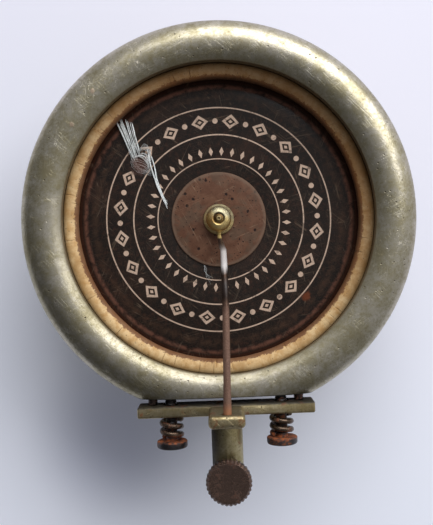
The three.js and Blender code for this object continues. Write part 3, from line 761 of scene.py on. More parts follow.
def brass(name, seed):
    """Brass with brown tarnish in patches."""
    look = Look(name, seed)
    patch = look.noise(1.1, 5.0, 0.65, 0.3)
    grain = look.noise(9.0, 3.0, 0.7, shift=4)
    tarnish = patch.step(0.46, 0.68)
    y = look.y - AXIS_Y
    radius = look.away()
    # pale paints the nut's far side silver-grey, a painted highlight.
    pale = (y + look.x * 0.3 + patch * 2.0).step(0.9, 1.9)
    bowl = (radius + patch * 0.3).step(1.2, 0.85)
    shade = bowl * (look.x - y * 0.6).step(0.2, -0.7)
    left = (look.x * -1.0 + patch * 0.8).step(1.0, 1.8) * 0.4
    washer = radius.step(1.94, 2.02)
    base = look.layers(
        (226, 200, 136), (tarnish * 0.75, (150, 112, 62)),
        (grain.step(0.55, 0.75) * 0.4, (78, 58, 36)), (pale * 0.75, (172, 170, 146)),
        (bowl * 0.85, (104, 72, 30)), (shade * 0.7, (44, 26, 12)), (left, (170, 120, 56)),
        (radius.step(0.46, 0.4), (150, 132, 92)), (washer * 0.7, (130, 116, 88)))
    rough = 0.3 + tarnish * 0.2 + grain * 0.2 + washer * 0.15
    return look.done(base, rough, 1.0, look.bump(grain * 0.7 + patch * 0.9, 0.06))


def aged_rubber():
    """Cream rubber gone hard: brown in patches, specked and cracked across. Its far side and
    its outer part beneath the bezel's lip are painted darker as shade.
    """
    look = Look("aged_rubber", 11.0)
    settings = {"attribute_type": "GEOMETRY", "attribute_name": "crack"}
    crack = look.node("ShaderNodeAttribute", settings, {}, "Fac")
    y = look.y - AXIS_Y
    radius = look.away()
    cloud = look.noise(0.16, 4.0, 0.6, 0.4)
    patch = look.noise(0.8, 5.0, 0.65, 0.3, shift=3)
    grain = look.noise(6.0, 4.0, 0.7, shift=5)
    speck = look.specks(2.2, 2, (0.2, 0.1), (0.66, 0.8))
    stain = (radius + patch * 0.6 + cloud * 0.4).step(GASKET_R - 0.42, GASKET_R - 0.95)
    rag = look.noise(1.8, 4.0, 0.75, 0.6, shift=30)
    ragged = (radius + (rag - 0.5) * 1.3).step(GASKET_R - 0.78, GASKET_R - 0.9)
    # Painted shade: the tube is painted browner towards the far side, nearly black on its inner
    # side there.
    far_side_shade = (look.x * 0.45 + y * 0.9 + patch * 8.0).step(-6.0, 20.0)
    # Painted shadow: the outer part, beneath the bezel's lip, is painted dark.
    outer = (radius - patch * 0.35).step(GASKET_R + 0.6, GASKET_R + 0.74)
    turn = y.maths("ARCTAN2", look.x)
    hatch = look.noise(1.0, 2.0, 0.5, at=look.vector(turn * 75.0, radius * 0.5, 0.0))
    base = look.layers(
        (222, 190, 140), (patch.step(0.35, 0.68), (196, 154, 98)),
        (cloud.step(0.46, 0.66) * 0.6, (166, 126, 74)),
        (grain.step(0.52, 0.75) * 0.35, (134, 98, 58)), (stain * 0.4, (160, 112, 72)),
        (ragged * 0.8, (92, 46, 26)), (far_side_shade * 0.5, (140, 88, 42)),
        (far_side_shade * stain * 0.7, (34, 22, 14)), (outer * 0.7, (48, 38, 22)),
        (hatch.step(0.55, 0.7) * 0.16, (150, 110, 64)), (speck * 0.75, (70, 46, 28)),
        (crack * 0.6, (92, 62, 38)))
    height = patch * 0.5 + grain * 0.3 - crack * 0.5 - speck * 0.4
    return look.done(base, 0.55 + grain * 0.25, 0.0, look.bump(height, 0.05),
                     Specular_IOR_Level=0.4)


def black_rubber():
    """Perished black rubber, with a grey bloom."""
    look = Look("black_rubber", 23.0)
    patch = look.noise(0.5, 5.0, 0.65, 0.4)
    grain = look.noise(5.0, 5.0, 0.7, shift=5)
    base = look.layers(
        (40, 37, 33), (patch.step(0.4, 0.7), (66, 61, 53)),
        (grain.step(0.58, 0.72) * 0.6, (96, 88, 74)))
    height = grain * 0.6 + patch * 0.4
    return look.done(base, 0.6 + grain * 0.3, 0.0, look.bump(height, 0.06))


def printed_mica():
    """Glossy mica over a dark, speckled print with a plain ring ornament."""
    look = Look("printed_mica", 5.0)
    y = look.y - AXIS_Y
    radius = look.away()
    turn = y.maths("ARCTAN2", look.x) / (2 * math.pi)
    cloud = look.noise(0.14, 4.0, 0.6, 0.5)
    patch = look.noise(0.9, 6.0, 0.7, 0.3, shift=3)
    grain = look.noise(7.0, 5.0, 0.8, shift=6)
    speck = look.specks(2.6, 1, (0.2, 0.08), (0.6, 0.8))
    dust = look.specks(5.5, 4, (0.26, 0.12), (0.5, 0.8))

    def row(count, middle, half_gap=0.0):
        """Places along and across a ring of equal cells, in millimetres."""
        share = (turn * count + half_gap).maths("FLOORED_MODULO", 1.0) - 0.5
        return share * (2 * math.pi * middle / count), radius - middle

    def lozenge(count, middle, wide, high, shift=0.0):
        u, v = row(count, middle, shift)
        return (abs(u) / wide + abs(v) / high).step(1.04, 0.94)

    def dot(count, middle, size, shift=0.0):
        u, v = row(count, middle, shift)
        return (u * u + v * v).maths("SQRT").step(size + 0.04, size - 0.04)

    def hoop(middle, half):
        return abs(radius - middle).step(half + 0.04, half - 0.02)

    wide_row, narrow_row = (20, 15.5), (40, 10.7)
    ink = lozenge(*wide_row, 1.35, 1.15) * (1 - lozenge(*wide_row, 0.8, 0.62))
    for mark in (lozenge(*wide_row, 0.36, 0.28), dot(*wide_row, 0.42, 0.5), hoop(17.6, 0.09),
                 hoop(13.35, 0.09), lozenge(*narrow_row, 0.34, 0.72), hoop(9.55, 0.07)):
        ink = ink.most(mark)
    worn = (grain * 0.6 + patch * 0.4).step(0.60, 0.5)
    flaked = look.noise(0.35, 5.0, 0.7, 0.6, shift=20).step(0.34, 0.42)
    torn = look.near(*TORN_PLACE)
    ink = ink * (worn * 0.55 + 0.45) * (flaked * 0.65 + 0.35) * (1.0 - torn)
    red = look.noise(1.6, 4.0, 0.7, 0.4, shift=25)
    low_side = (y * -1.0 + patch * 6.0).step(-12.0, 16.0) * 0.35 + 0.3
    bruise = look.near(*TORN_BRUISE)
    rust_spot = look.near(*DISC_RUST)
    halo = radius.bump_at(19.4, 0.9) * patch.step(0.35, 0.6)
    # A painted reflection of the gasket: a pinkish ring near the mica's edge.
    gasket_reflection = (radius + patch * 0.4).bump_at(21.1, 0.55) * patch.step(0.3, 0.6)
    # Painted shade: a dark reddish ring where the mica goes beneath the gasket.
    rim = (radius + patch * 0.3).step(21.45, 21.7)
    fine = look.scratches((12, 0.012, 0.04, 1.5, 1), (-38, 0.012, 0.05, 1.3, 4),
                          (64, 0.01, 0.04, 1.6, 7), (-80, 0.01, 0.05, 1.2, 11))
    base = look.layers(
        (22, 16, 13), (patch.step(0.35, 0.7), (34, 24, 18)),
        (cloud.step(0.5, 0.7) * 0.6, (48, 32, 24)), (red.step(0.5, 0.68) * 0.5, (62, 38, 28)),
        (grain.step(0.52, 0.74) * low_side, (112, 94, 74)), (dust * 0.5, (6, 5, 5)),
        (ink * 0.92, (206, 178, 156)), (speck * 0.85, (12, 9, 7)), (bruise * 0.6, (104, 74, 66)),
        (rust_spot * 0.8, (108, 54, 28)), (halo * 0.25, (92, 66, 48)), (gasket_reflection * 0.6, (124, 82, 66)),
        (rim * 0.8, (54, 28, 17)), (fine * 0.26, (138, 118, 98)))
    rough = 0.5 + patch * 0.2 - ink * 0.05
    coat = (0.22 - fine * 0.1 - patch.step(0.6, 0.8) * 0.08).clamped()
    height = patch * 0.3 + grain * 0.15 - fine * 0.5
    return look.done(base, rough, 0.0, look.bump(height, 0.008), coat, Coat_Roughness=0.16,
                     Coat_IOR=1.5, Specular_IOR_Level=0.1)


def brown_fibre():
    """Brown pressed fibre with dark pits and scratches."""
    look = Look("brown_fibre", 8.0)
    radius = look.away()
    patch = look.noise(0.7, 5.0, 0.6, 0.3)
    grain = look.noise(7.0, 5.0, 0.75, shift=4)
    pit = look.specks(1.35, 2, (0.19, 0.11), (0.35, 0.45))
    speck = look.specks(2.2, 6, (0.26, 0.16), (0.5, 0.6))
    smudge = look.noise(0.3, 3.0, 0.6, 0.5, shift=9).step(0.48, 0.6)
    pit = pit.most(look.spots(FIBRE_PITS, 0.3))
    edge = (radius + patch * 0.5).bump_at(7.5, 0.5)
    fine = look.scratches((20, 0.014, 0.06, 2.2, 1), (-62, 0.014, 0.05, 2.0, 5))
    base = look.layers(
        (88, 57, 41), (patch.step(0.35, 0.65), (103, 71, 53)), (smudge * 0.5, (80, 68, 55)),
        (grain.step(0.5, 0.75) * 0.4, (128, 98, 76)),
        ((pit + speck * 0.7).clamped() * 0.95, (26, 12, 9)), (edge * 0.5, (118, 98, 82)),
        (fine * 0.5, (158, 132, 106)))
    height = grain * 0.3 - pit * 0.9 - speck * 0.5 - fine * 0.3
    normal = look.bump(height, 0.03)
    return look.done(base, 0.55 + grain * 0.16, 0.0, normal, Specular_IOR_Level=0.2)


def bar_steel():
    """The stylus bar: brown rust near its root. Nearer the hub it has a painted dark reflection,
    then a painted highlight, and a bright brass-coloured tip that is partly a painted highlight.
    """
    look = Look("bar_steel", 3.0)
    patch = look.noise(0.5, 5.0, 0.65, 0.4, at=look.vector(look.x, look.y * 0.6, look.z))
    grain = look.noise(6.0, 5.0, 0.75, shift=4)
    y = look.y - AXIS_Y
    rusty = (y + patch * 4.0 - 2.0).step(-11.0, -14.5)
    root = (y + grain * 1.0).step(-25.6, -27.6)
    tone = look.layers(
        (98, 70, 56), (grain.step(0.35, 0.7), (136, 106, 88)),
        # The rust is painted darker on the bar's left flank, away from the light: painted shade.
        (look.x.step(-0.1, -0.45) * 0.6, (84, 46, 34)), (root * 0.7, (170, 112, 70)))
    # worn paints the bend nearest the hub pale and less metallic: a painted highlight.
    worn = (y + patch * 0.8 - 0.4).step(-8.7, -7.2) * y.step(-3.7, -5.3)
    # The tip is painted brass-coloured and bright, partly a painted highlight.
    brass_tip_highlight = y.step(-3.2, -2.8)
    # A painted dark reflection, dark brown and less metallic, below the highlight.
    painted_dark_reflection = (y + patch * 1.2 - 0.6).bump_at(-10.4, 2.2)
    bare = look.layers(
        (62, 46, 36), (patch.step(0.4, 0.65), (40, 28, 20)), (y.step(-5.0, -4.0), (112, 98, 92)),
        (painted_dark_reflection, (34, 20, 13)), (worn * 0.92, (214, 208, 204)), (brass_tip_highlight, (234, 208, 136)))
    base = look.mix(rusty, bare, tone)
    rough = 0.28 + rusty * 0.25 + grain * 0.12 + worn * 0.2
    metal = (0.95 - rusty * 0.6 - worn * 0.65 - painted_dark_reflection * 0.7 - brass_tip_highlight * 0.5).clamped()
    height = grain * 0.6 + patch * 0.3
    return look.done(base, rough, metal, look.bump(height, 0.02))


def torn_mica():
    """Silvery splinters of mica, rusty where the crack ends."""
    look = Look("torn_mica", 2.0)
    grain = look.noise(5.0, 3.0)
    rusty = look.near(*SPLINTER_RUST)
    base = look.layers(
        (214, 222, 216), (grain.step(0.4, 0.6), (255, 255, 254)), (rusty * 0.6, (190, 148, 124)))
    gloss = {"Coat_Roughness": 0.32, "Coat_IOR": 1.9, "Specular_IOR_Level": 1.0}
    return look.done(base, 0.35, 0.0, None, 1.0, **gloss)


# Pieces of the case and the diaphragm


def round_case(look):
    outer = quarter(CREST_R, BEZEL_Z, CREST_IN, BEZEL_RISE, 0)
    bend = (CREST_R - OPENING_R) / math.sin(INNER_TILT)
    inner = [(CREST_R - bend * math.sin(t), CREST_Z - bend * (1 - math.cos(t)))
             for t in np.linspace(0, INNER_TILT, 18)]
    rear = fillet([(CHAMBER_R, REAR_Z, 0.15), (CASE_R, REAR_Z, 0.8), (CASE_R, BEZEL_Z - 2.0)], 6)
    lip_z = BEZEL_Z - LIP
    lip = [(OPENING_R + UNDERCUT, lip_z), (CHAMBER_R, lip_z)]
    profile = [*rear[:-1], *outer, *inner[1:], *lip]
    shape = lathe(profile, 360, y=AXIS_Y)
    wide = CASE_R + 2
    shape = carved(shape, block((-wide, FLAT_Y - 6, REAR_Z - 2), (wide, FLAT_Y, CREST_Z + 2)))
    bores = ((PIN_HOLE_R, PIN_HOLE_DEEP, PIVOT_X), (SCREW_HOLE_R, SCREW_HOLE_DEEP, TENSION_X))
    holes = [rod(size, -1.0, deep, side * x, FLAT_Y, PIVOT_Z, axis="y")
             for side in (-1, 1) for size, deep, x in bores]
    holes += rods_on_circle(SCREW_HOLE_R, REAR_Z - 1.0, REAR_Z + SCREW_HOLE_DEEP, BACK_CIRCLE,
                            BACK_ANGLES)
    shape = softened(carved(shape, *holes), 0.12, 50)

    rng = random.Random(7)
    dents = []
    for _ in range(26):
        a, size = rng.uniform(0, 2 * math.pi), rng.uniform(0.7, 1.7)
        r = CREST_R + rng.uniform(-2.0, 3.2)
        dents.append((r * math.cos(a), AXIS_Y + r * math.sin(a), size, rng.uniform(0.02, 0.05)))

    def dented(points):
        made = points.copy()
        front = points[:, 2] > BEZEL_Z - 1
        for x, y, size, depth in dents:
            far = np.hypot(points[:, 0] - x, points[:, 1] - y) / size
            push = depth * np.exp(-far * far * 2.2) * front
            towards = points - np.array([0, AXIS_Y, 0])
            radius = np.hypot(towards[:, 0], towards[:, 1])
            middle = towards.copy()
            middle[:, :2] *= (CREST_R / radius)[:, None]
            middle[:, 2] = BEZEL_Z
            inward = middle - towards
            inward /= np.linalg.norm(inward, axis=1)[:, None] + 1e-9
            made += inward * push[:, None]
        return made

    piece("case_ring", moved(shape, dented), "case", look, "case_nickel", "body_shell")


def gasket(name, node, look, cracks, seed):
    """A rubber tube bent round the chamber, with real cracks across it."""
    low, high = span(node)
    height = (low.z + high.z) / 2
    steps, sides = ((2160, 22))
    rng = np.random.default_rng(seed)
    turn = np.arange(steps) * 2 * math.pi / steps
    round_ = np.arange(sides) * 2 * math.pi / sides
    centres = rng.uniform(0, 2 * math.pi, cracks)
    widths = rng.uniform(0.03, 0.07, cracks) / GASKET_R
    depths = rng.uniform(0.04, 0.14, cracks)
    reach = rng.uniform(0.3, 1.1, cracks)
    lean = rng.uniform(-0.35, 0.35, cracks) / GASKET_R
    facing = rng.uniform(1.3, 3.0, cracks)
    groove = np.zeros((steps, sides))
    mark = np.zeros((steps, sides))
    for c, w, d, s, tilt, f in zip(centres, widths, depths, reach, lean, facing):
        leaning = tilt * np.sin(round_)[None, :]
        across = (turn[:, None] - c - leaning + math.pi) % (2 * math.pi) - math.pi
        line = np.clip(1 - np.abs(across) / w, 0, 1)
        about = np.abs((round_ - f + math.pi) % (2 * math.pi) - math.pi)
        fade = np.clip((s - about) / 0.4, 0, 1)[None, :]
        groove += line * fade * d
        mark = np.maximum(mark, line * fade)
    ripples = ((5, 0.02, 1.0), (11, 0.016, 2.0), (23, 0.012, 0.4), (57, 0.008, 3))
    waves = sum(high * np.sin(number * turn + start) for number, high, start in ripples)
    size = GASKET_TUBE - 0.05 + waves[:, None] * 0.8 - np.minimum(groove, 0.24)
    r = GASKET_R + size * np.cos(round_)[None, :]
    z = height + size * np.sin(round_)[None, :]
    points = np.stack([r * np.cos(turn)[:, None], AXIS_Y + r * np.sin(turn)[:, None], z],
                      2).reshape(-1, 3)
    index = np.arange(steps * sides).reshape(steps, sides)
    ahead, up = np.roll(index, -1, 0), np.roll(index, -1, 1)
    corner = np.roll(ahead, -1, 1)
    faces = np.stack([index, ahead, corner, up], 2).reshape(-1, 4).tolist()
    mesh = mesh_of(points, faces)
    crack = mesh.attributes.new("crack", "FLOAT", "POINT")
    crack.data.foreach_set("value", mark.ravel().astype(np.float32))
    piece(name, mesh, "case", look, "aged_rubber", node, sharp=80)


def holed_disc(name, node, look, slot, rounding, steps, arcs=3):
    """A disc with the hub's hole through it. The rounding goes round its section."""
    low, high = span(node)
    radius = (high.x - low.x) / 2
    corners = [(HUB_HOLE, low.z), (radius, low.z), (radius, high.z), (HUB_HOLE, high.z)]
    profile = fillet([(*corner, size) for corner, size in zip(corners, rounding)], arcs)
    piece(name, lathe(profile, steps, y=AXIS_Y), "diaphragm_middle", look, slot, node)


def hub(look):
    low, high = span("hub_bolt")
    tip = high.z
    washer_low = span("hub_back_washer")[0]
    head = [(0, low.z), (HUB_HEAD_R, low.z, 0.3), (HUB_HEAD_R, washer_low.z, 0.04)]
    nut_top = span("hub_nut")[1].z
    shank = [(BOLT_R, washer_low.z, 0.03), (BOLT_R, nut_top - 0.2, 0.05),
             (0.46, nut_top - 0.12, 0.05), (0.42, tip, 0.2), (0.15, tip, 0.05),
             (0.13, tip - 0.25), (0, tip - 0.3)]
    bolt = lathe(fillet([*head, *shank], 3), 48, y=AXIS_Y, closed=False)
    reach = HUB_HEAD_R + 0.3
    slot = block((-reach, AXIS_Y - 0.25, low.z - 1), (reach, AXIS_Y + 0.25, low.z + 0.3))
    piece("hub_bolt_turned", carved(bolt, slot), "diaphragm_middle", look, "hub_brass", "hub_bolt")
    for side in ("back", "front"):
        holed_disc(f"{side}_washer_turned", f"hub_{side}_washer", look, "hub_brass",
                   (0.05, 0.08, 0.12, 0.05), 64)
    low, high = span("hub_nut")
    radius = (high.x - low.x) / 2
    belt = low.z + (high.z - low.z) * 0.45
    top = math.acos(1.02 / radius)
    rise = (high.z - belt) / math.sin(top)
    dome = [(radius * math.cos(top * i / 14), belt + rise * math.sin(top * i / 14))
            for i in range(15)]
    bowl = [(0.96, high.z - 0.02), (0.9, high.z - 0.06), (BOLT_R + 0.03, high.z - 0.14),
            (HUB_HOLE, high.z - 0.4)]
    profile = [(HUB_HOLE, low.z), (radius - 0.08, low.z), (radius, low.z + 0.08), *dome, *bowl]
    piece("domed_nut", lathe(profile, 96, y=AXIS_Y), "diaphragm_middle", look,
          "hub_brass", "hub_nut")


def crack_splinters(look, swept):
    """The torn place in the mica: a bundle of lifted splinters and a curl of fine ones."""
    rng = np.random.default_rng(4)
    paths = []

    def spot(place, lift, right=0.0, down=0.0):
        """A point over the disc from a place in the camera's picture."""
        u = (place[0] + right - PICTURE_MIDDLE[0]) / PIXELS_PER_MM
        v = (PICTURE_MIDDLE[1] - place[1] - down) / PIXELS_PER_MM
        cos, sin = math.cos(CAMERA_ROLL), math.sin(CAMERA_ROLL)
        return [CAMERA_X + u * cos + v * sin, CAMERA_Y + v * cos - u * sin, mica_top + lift]

    def strand(points, size, ends, count=24):
        route = smooth_route(points, count)
        route[:, :2] += rng.normal(0, 0.01, (count, 2))
        shape = np.interp(np.linspace(0, 1, count), [0, 0.12, 0.7, 1], ends)
        paths.append((route, size * shape))

    def fan(outline, count, lifts, sway=0.0):
        """Routes at equal steps between an outline's first and last one."""
        first, last = np.array(outline)
        for share in np.linspace(0, 1, count):
            down = [0.0] * len(lifts)
            if sway:
                down[1] = rng.uniform(-sway, sway)
            yield [spot(place, lift, 0.0, low)
                   for place, lift, low in zip(first + (last - first) * share, lifts, down)]

    for _ in range(25):
        wide, lift = rng.uniform(-1, 1), rng.uniform(0.05, 0.6)
        points = [spot(BUNDLE_TOP, lift * 0.2, 8.5 * wide, rng.uniform(-1.5, 4)),
                  spot(BUNDLE_MIDDLE, lift + 0.1, 6.5 * wide),
                  spot(BUNDLE_FOOT, 0.1, 4.0 * wide, rng.uniform(-3, 8))]
        strand(points, rng.uniform(0.03, 0.08), [0.5, 1, 0.9, 0.3])
    for points in fan(LOBE_RIM, 6, (0.1, 0.12, 0.12, 0.1, 0.05)):
        strand(points, rng.uniform(0.008, 0.014), [0.6, 1, 1, 0.5], 32)
    for points in fan(LOBE_LOW_WEFT, 6, (0.1, 0.22, 0.2, 0.08), 1.0):
        strand(points, rng.uniform(0.012, 0.02), [0.5, 1, 1, 0.4])
    for points in fan(LOBE_HIGH_WEFT, 13, (0.15, 0.3, 0.25, 0.1), 1.0):
        strand(points, rng.uniform(0.014, 0.026), [0.5, 1, 1, 0.4])
    for points in fan(LOBE_TOP, 5, (0.15, 0.5, 0.4, 0.1)):
        strand(points, rng.uniform(0.016, 0.028), [0.6, 1, 1, 0.6])
    for side in (-1, 1):
        for _ in range(6):
            wide = rng.uniform(-1, 1)
            points = [spot(SPLINTER_ROOT, 0.3, 2.0 * side + 0.3 * wide, 3.5 * side),
                      spot(SPLINTER_NECK, 0.3, 1.7 * side + 0.35 * wide),
                      spot(SPLINTER_MEETING, 0.25, 0.7 * side + 0.6 * wide),
                      spot(SPLINTER_BEND, 0.15, 1.1 * wide),
                      spot(SPLINTER_TIP, 0.05, 0.3 * wide, rng.uniform(-7, 1))]
            strand(points, rng.uniform(0.045, 0.08), [0.3, 0.5, 1, 0.2])
    for points in fan(SCRATCH, 3, (0.02, 0.04, 0.03, 0.02)):
        strand(points, 0.02, [0.4, 1, 0.8, 0.3])
    mesh = swept.made(lines_of(paths), look, Sides=6)
    piece("mica_splinters", mesh, "diaphragm_middle", look, "printed_mica", sharp=60)


# Pieces of the rocking crossbar


def crossbar(look):
    top, low = bar_high.y, bar_high.y - PLATE_T
    x, z0, z1 = bar_high.x, bar_low.z, 2 * PIVOT_Z - bar_low.z
    plate = softened(block((-x, low, z0), (x, top, z1)), 0.32, 40, 5)
    tongue_top = bar_low.y + TONGUE_T
    half = TONGUE_W / 2
    tongue = block((-half, bar_low.y, z0 + 0.02), (half, tongue_top, bar_high.z))
    tongue = softened(tongue, 0.65, 40, 6)
    shape = carved(plate, tongue, operation="UNION")
    tools = []
    for side in (-1, 1):
        tools.append(rod(PLATE_HOLE_R, low - 1, top + 1, side * TENSION_X, 0, PIVOT_Z, "y", 40))
        depth = CONE_DEEP + CONE_GAP * math.sqrt(2)
        cone = [(0, top - depth), (depth + 1, top + 1), (0, top + 1)]
        tools.append(lathe(cone, 32, side * PIVOT_X, 0, PIVOT_Z, "y", closed=False))
    tools.append(rod(TANG_HOLE_R, bar_low.y - 1, top + 1, 0, 0, PIVOT_Z, "y", 40))
    root_z = rod_high.z - ROOT_R
    tools.append(rod(ROOT_R + 0.2, bar_low.y - 1, top + 1, 0, 0, root_z, "y"))
    shape = softened(carved(shape, *tools), 0.05, 60, 2)
    piece("crossbar_plate", shape, "stylus", look, "crossbar_nickel", "crossbar")


def stylus_bar(look, swept):
    root_z = rod_high.z - ROOT_R
    root_y = bar_low.y + TONGUE_T
    washer_top = span("hub_front_washer")[1].z
    eye_low = washer_top + 0.15
    eye_top, eye_mid = eye_low + 0.5, eye_low + 0.25
    edge_y = AXIS_Y - (HUB_HOLE + EYE_R) / 2
    shares = [(0.17, 0.005), (0.45, 0.05), (0.68, 0.14), (0.77, 0.26), (0.84, 0.55), (0.89, 0.86)]
    bends = [(0, root_y + (edge_y - root_y) * a, root_z + (eye_mid - root_z) * b)
             for a, b in shares]
    foot = (0, AXIS_Y - EYE_R - 0.4, eye_mid)
    route = smooth_route([(0, root_y, root_z), *bends, foot, (0, edge_y, eye_mid)], 140)
    route = np.vstack([[0, bar_low.y + 0.02, root_z], route])
    share = np.linspace(0, 1, len(route))
    route[:, 0] += np.interp(share, [0, 0.1, 0.45, 0.85, 0.95], [0.12, 0.2, 0.46, 0.5, 0])
    thick = np.interp(share, [0, 0.12, 0.9, 0.97], [ROOT_R, 0.53, MIDDLE_R + 0.05, 0.26])
    arm = swept.made(lines_of([(route, thick)]), look, Sides=24)
    profile = fillet([(HUB_HOLE, eye_low, 0.08), (EYE_R, eye_low, 0.15),
                      (EYE_R, eye_top, 0.15), (HUB_HOLE, eye_top, 0.08)], 3)
    eye = lathe(profile, 64, y=AXIS_Y)
    bore = rod(HUB_HOLE, eye_low - 1, eye_low + 2, 0, AXIS_Y, 0, steps=64)
    shape = carved(carved(eye, arm, operation="UNION"), bore)
    piece("stylus_bar_bent", shape, "stylus", look, "rusty_steel", "stylus_bar")


def needle_holder(look):
    low, high = holder_low.y, bar_low.y
    tang = [(TANG_R, high, 0.02), (TANG_R, holder_high.y, 0.15), (0, holder_high.y)]
    profile = fillet([(0, low), (HOLDER_R, low, 0.35), (HOLDER_R, high, 0.08), *tang], 4)
    shank = lathe(profile, 72, 0, 0, PIVOT_Z, "y", closed=False)
    bore = rod(BORE_R, low - 1, low + BORE_DEEP, 0, 0, PIVOT_Z, "y")
    mid_y = (thumb_low.y + thumb_high.y) / 2
    face = holder_high.z
    seat = block((-3, low - 1, face), (3, low + SEAT_LONG, face + 2))
    hole = rod(STEM_HOLE_R, PIVOT_Z, face + 1, 0, mid_y, 0)
    shape = softened(carved(shank, bore, seat, hole), 0.07, 50)
    piece("holder_turned", shape, "stylus", look, "crossbar_nickel", "needle_holder")


def thumbscrew(look, toothed):
    mid_y = (thumb_low.y + thumb_high.y) / 2
    front = thumb_high.z
    rear = front - THUMB_T
    neck_z = rear - NECK_T
    profile = fillet([(0, rear), (THUMB_R - 0.45, rear, 0.1), (THUMB_R, rear + 0.45, 0.12),
                      (THUMB_R, front - 0.4, 0.15), (THUMB_R - 0.4, front, 0.15),
                      (0, front - 0.04)], 5)
    dense = [profile[0]]
    for (r0, z0), (r1, z1) in zip(profile, profile[1:]):
        count = max(1, int(math.hypot(r1 - r0, z1 - z0) / 0.12))
        dense += [(r0 + (r1 - r0) * k / count, z0 + (z1 - z0) * k / count)
                  for k in range(1, count + 1)]
    head = toothed.made(lathe(dense, TEETH * 8, closed=False), look)
    tip = thumb_low.z
    stem = [(0, tip), (STEM_R, tip + 0.42, 0.08), (STEM_R, neck_z, 0.02), (NECK_R, neck_z, 0.1),
            (NECK_R, rear + 0.3), (0, rear + 0.3)]
    shape = carved(head, lathe(fillet(stem, 3), 48, closed=False), operation="UNION")
    shape = moved(shape, lambda p: p + np.array([0, mid_y, 0]))
    piece("thumbscrew_turned", shape, "needle_screw", look, "rusty_steel",
          "needle_thumbscrew", sharp=50)


def pivot(side, name, look):
    tip, end = pivot_low.y, pivot_high.y
    profile = fillet([(0, tip), (PIN_R, tip + PIN_R, 0.08), (PIN_R, end), (0, end)], 3)
    shape = lathe(profile, 32, side * PIVOT_X, 0, PIVOT_Z, "y", closed=False)
    piece(f"{name}_pivot_pin", shape, "case", look, "dark_steel", f"{name}_pivot")


def tension_screw(side, name, look):
    low, high = screw_low.y, screw_high.y
    head_top = low + HEAD_T
    thread = []
    y = head_top + 0.6
    while y < high - 0.7:
        thread += [(SHANK_R, y), (SHANK_R - 0.11, y + 0.15), (SHANK_R - 0.11, y + 0.2)]
        y += 0.35
    head = [(0, low), (HEAD_R, low, 0.3), (HEAD_R, head_top, 0.22), (SHANK_R, head_top, 0.05)]
    tip = [(SHANK_R, high - 0.4), (SHANK_R - 0.4, high), (0, high)]
    profile = [*fillet(head, 5), *thread, *tip]
    x = side * TENSION_X
    shape = lathe(profile, 64, x, 0, PIVOT_Z, "y", closed=False)
    slot = block((x - SLOT_REACH, low - 1, PIVOT_Z - 0.3),
                 (x + SLOT_REACH, low + 0.5, PIVOT_Z + 0.3))
    shape = softened(carved(shape, slot), 0.04, 60)
    piece(f"{name}_screw_slotted", shape, f"{name}_screw", look, "rusty_steel",
          f"{name}_tension_screw")


def tension_spring(side, name, look, springs):
    top, low = bar_high.y - PLATE_T, screw_low.y + HEAD_T
    coil = springs.made(joined(), look, Height=top - low - 0.06)
    middle = (top + low) / 2
    turn = math.radians(200 if side < 0 else 150)

    def stood(points):
        x = points[:, 0] * math.cos(turn) - points[:, 1] * math.sin(turn)
        z = points[:, 0] * math.sin(turn) + points[:, 1] * math.cos(turn)
        return np.stack([x + side * TENSION_X, points[:, 2] + middle, z + PIVOT_Z], 1)

    mesh = moved(coil, stood)
    mesh.flip_normals()
    made = piece(f"{name}_coil", mesh, None, look, "rusty_steel",
                 f"{name}_tension_spring", sharp=60)
    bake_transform(made)


# Pieces of the back


def back_plate(look):
    outer = CASE_R - PLATE_STEP
    rear, face = plate_low.z, REAR_Z
    seat = face + PLATE_RIM_T
    middle = plate_high.z
    inner = GASKET_R - GASKET_TUBE - 0.4
    profile = fillet([(THROAT_R, rear, 0.3), (outer, rear, 0.35), (outer, face, 0.12),
                      (CHAMBER_R - 0.3, face, 0.05), (CHAMBER_R - 0.3, seat, 0.15),
                      (inner, seat, 0.1), (inner, middle, 0.3), (THROAT_R, middle, 0.8)], 4)
    shape = lathe(profile, 240, y=AXIS_Y)
    tools = [block((-40, FLAT_Y - 8, rear - 2), (40, plate_low.y, middle + 2))]
    tools += rods_on_circle(SCREW_HOLE_R, rear - 1, face + 1, BACK_CIRCLE, BACK_ANGLES, 24)
    tools += rods_on_circle(SCREW_HOLE_R, rear - 1, face + 0.2, CLAMP_CIRCLE, CLAMP_ANGLES, 24)
    shape = softened(carved(shape, *tools), 0.1, 50)
    piece("back_plate_turned", shape, "case", look, "case_nickel", "back_plate")


def isolator(look):
    groove = (collar_high.x - collar_low.x) / 2 + 0.3
    outer = (isolator_high.x - isolator_low.x) / 2
    rear, front = isolator_low.z, isolator_high.z
    flange_low, flange_high = rear + ISOLATOR_REAR_T, front - ISOLATOR_FRONT_T
    profile = fillet([(ISOLATOR_REAR_R, rear, 0.4), (outer, rear, 0.3), (outer, front, 0.1),
                      (COLLAR_BORE_R, front, 0.1), (COLLAR_BORE_R, flange_high, 0.1),
                      (groove, flange_high, 0.1), (groove, flange_low, 0.1),
                      (ISOLATOR_REAR_R, flange_low, 0.3)], 4)
    piece("isolator_ring", lathe(profile, 144, y=AXIS_Y), "case", look, "black_rubber",
          "rubber_isolator")


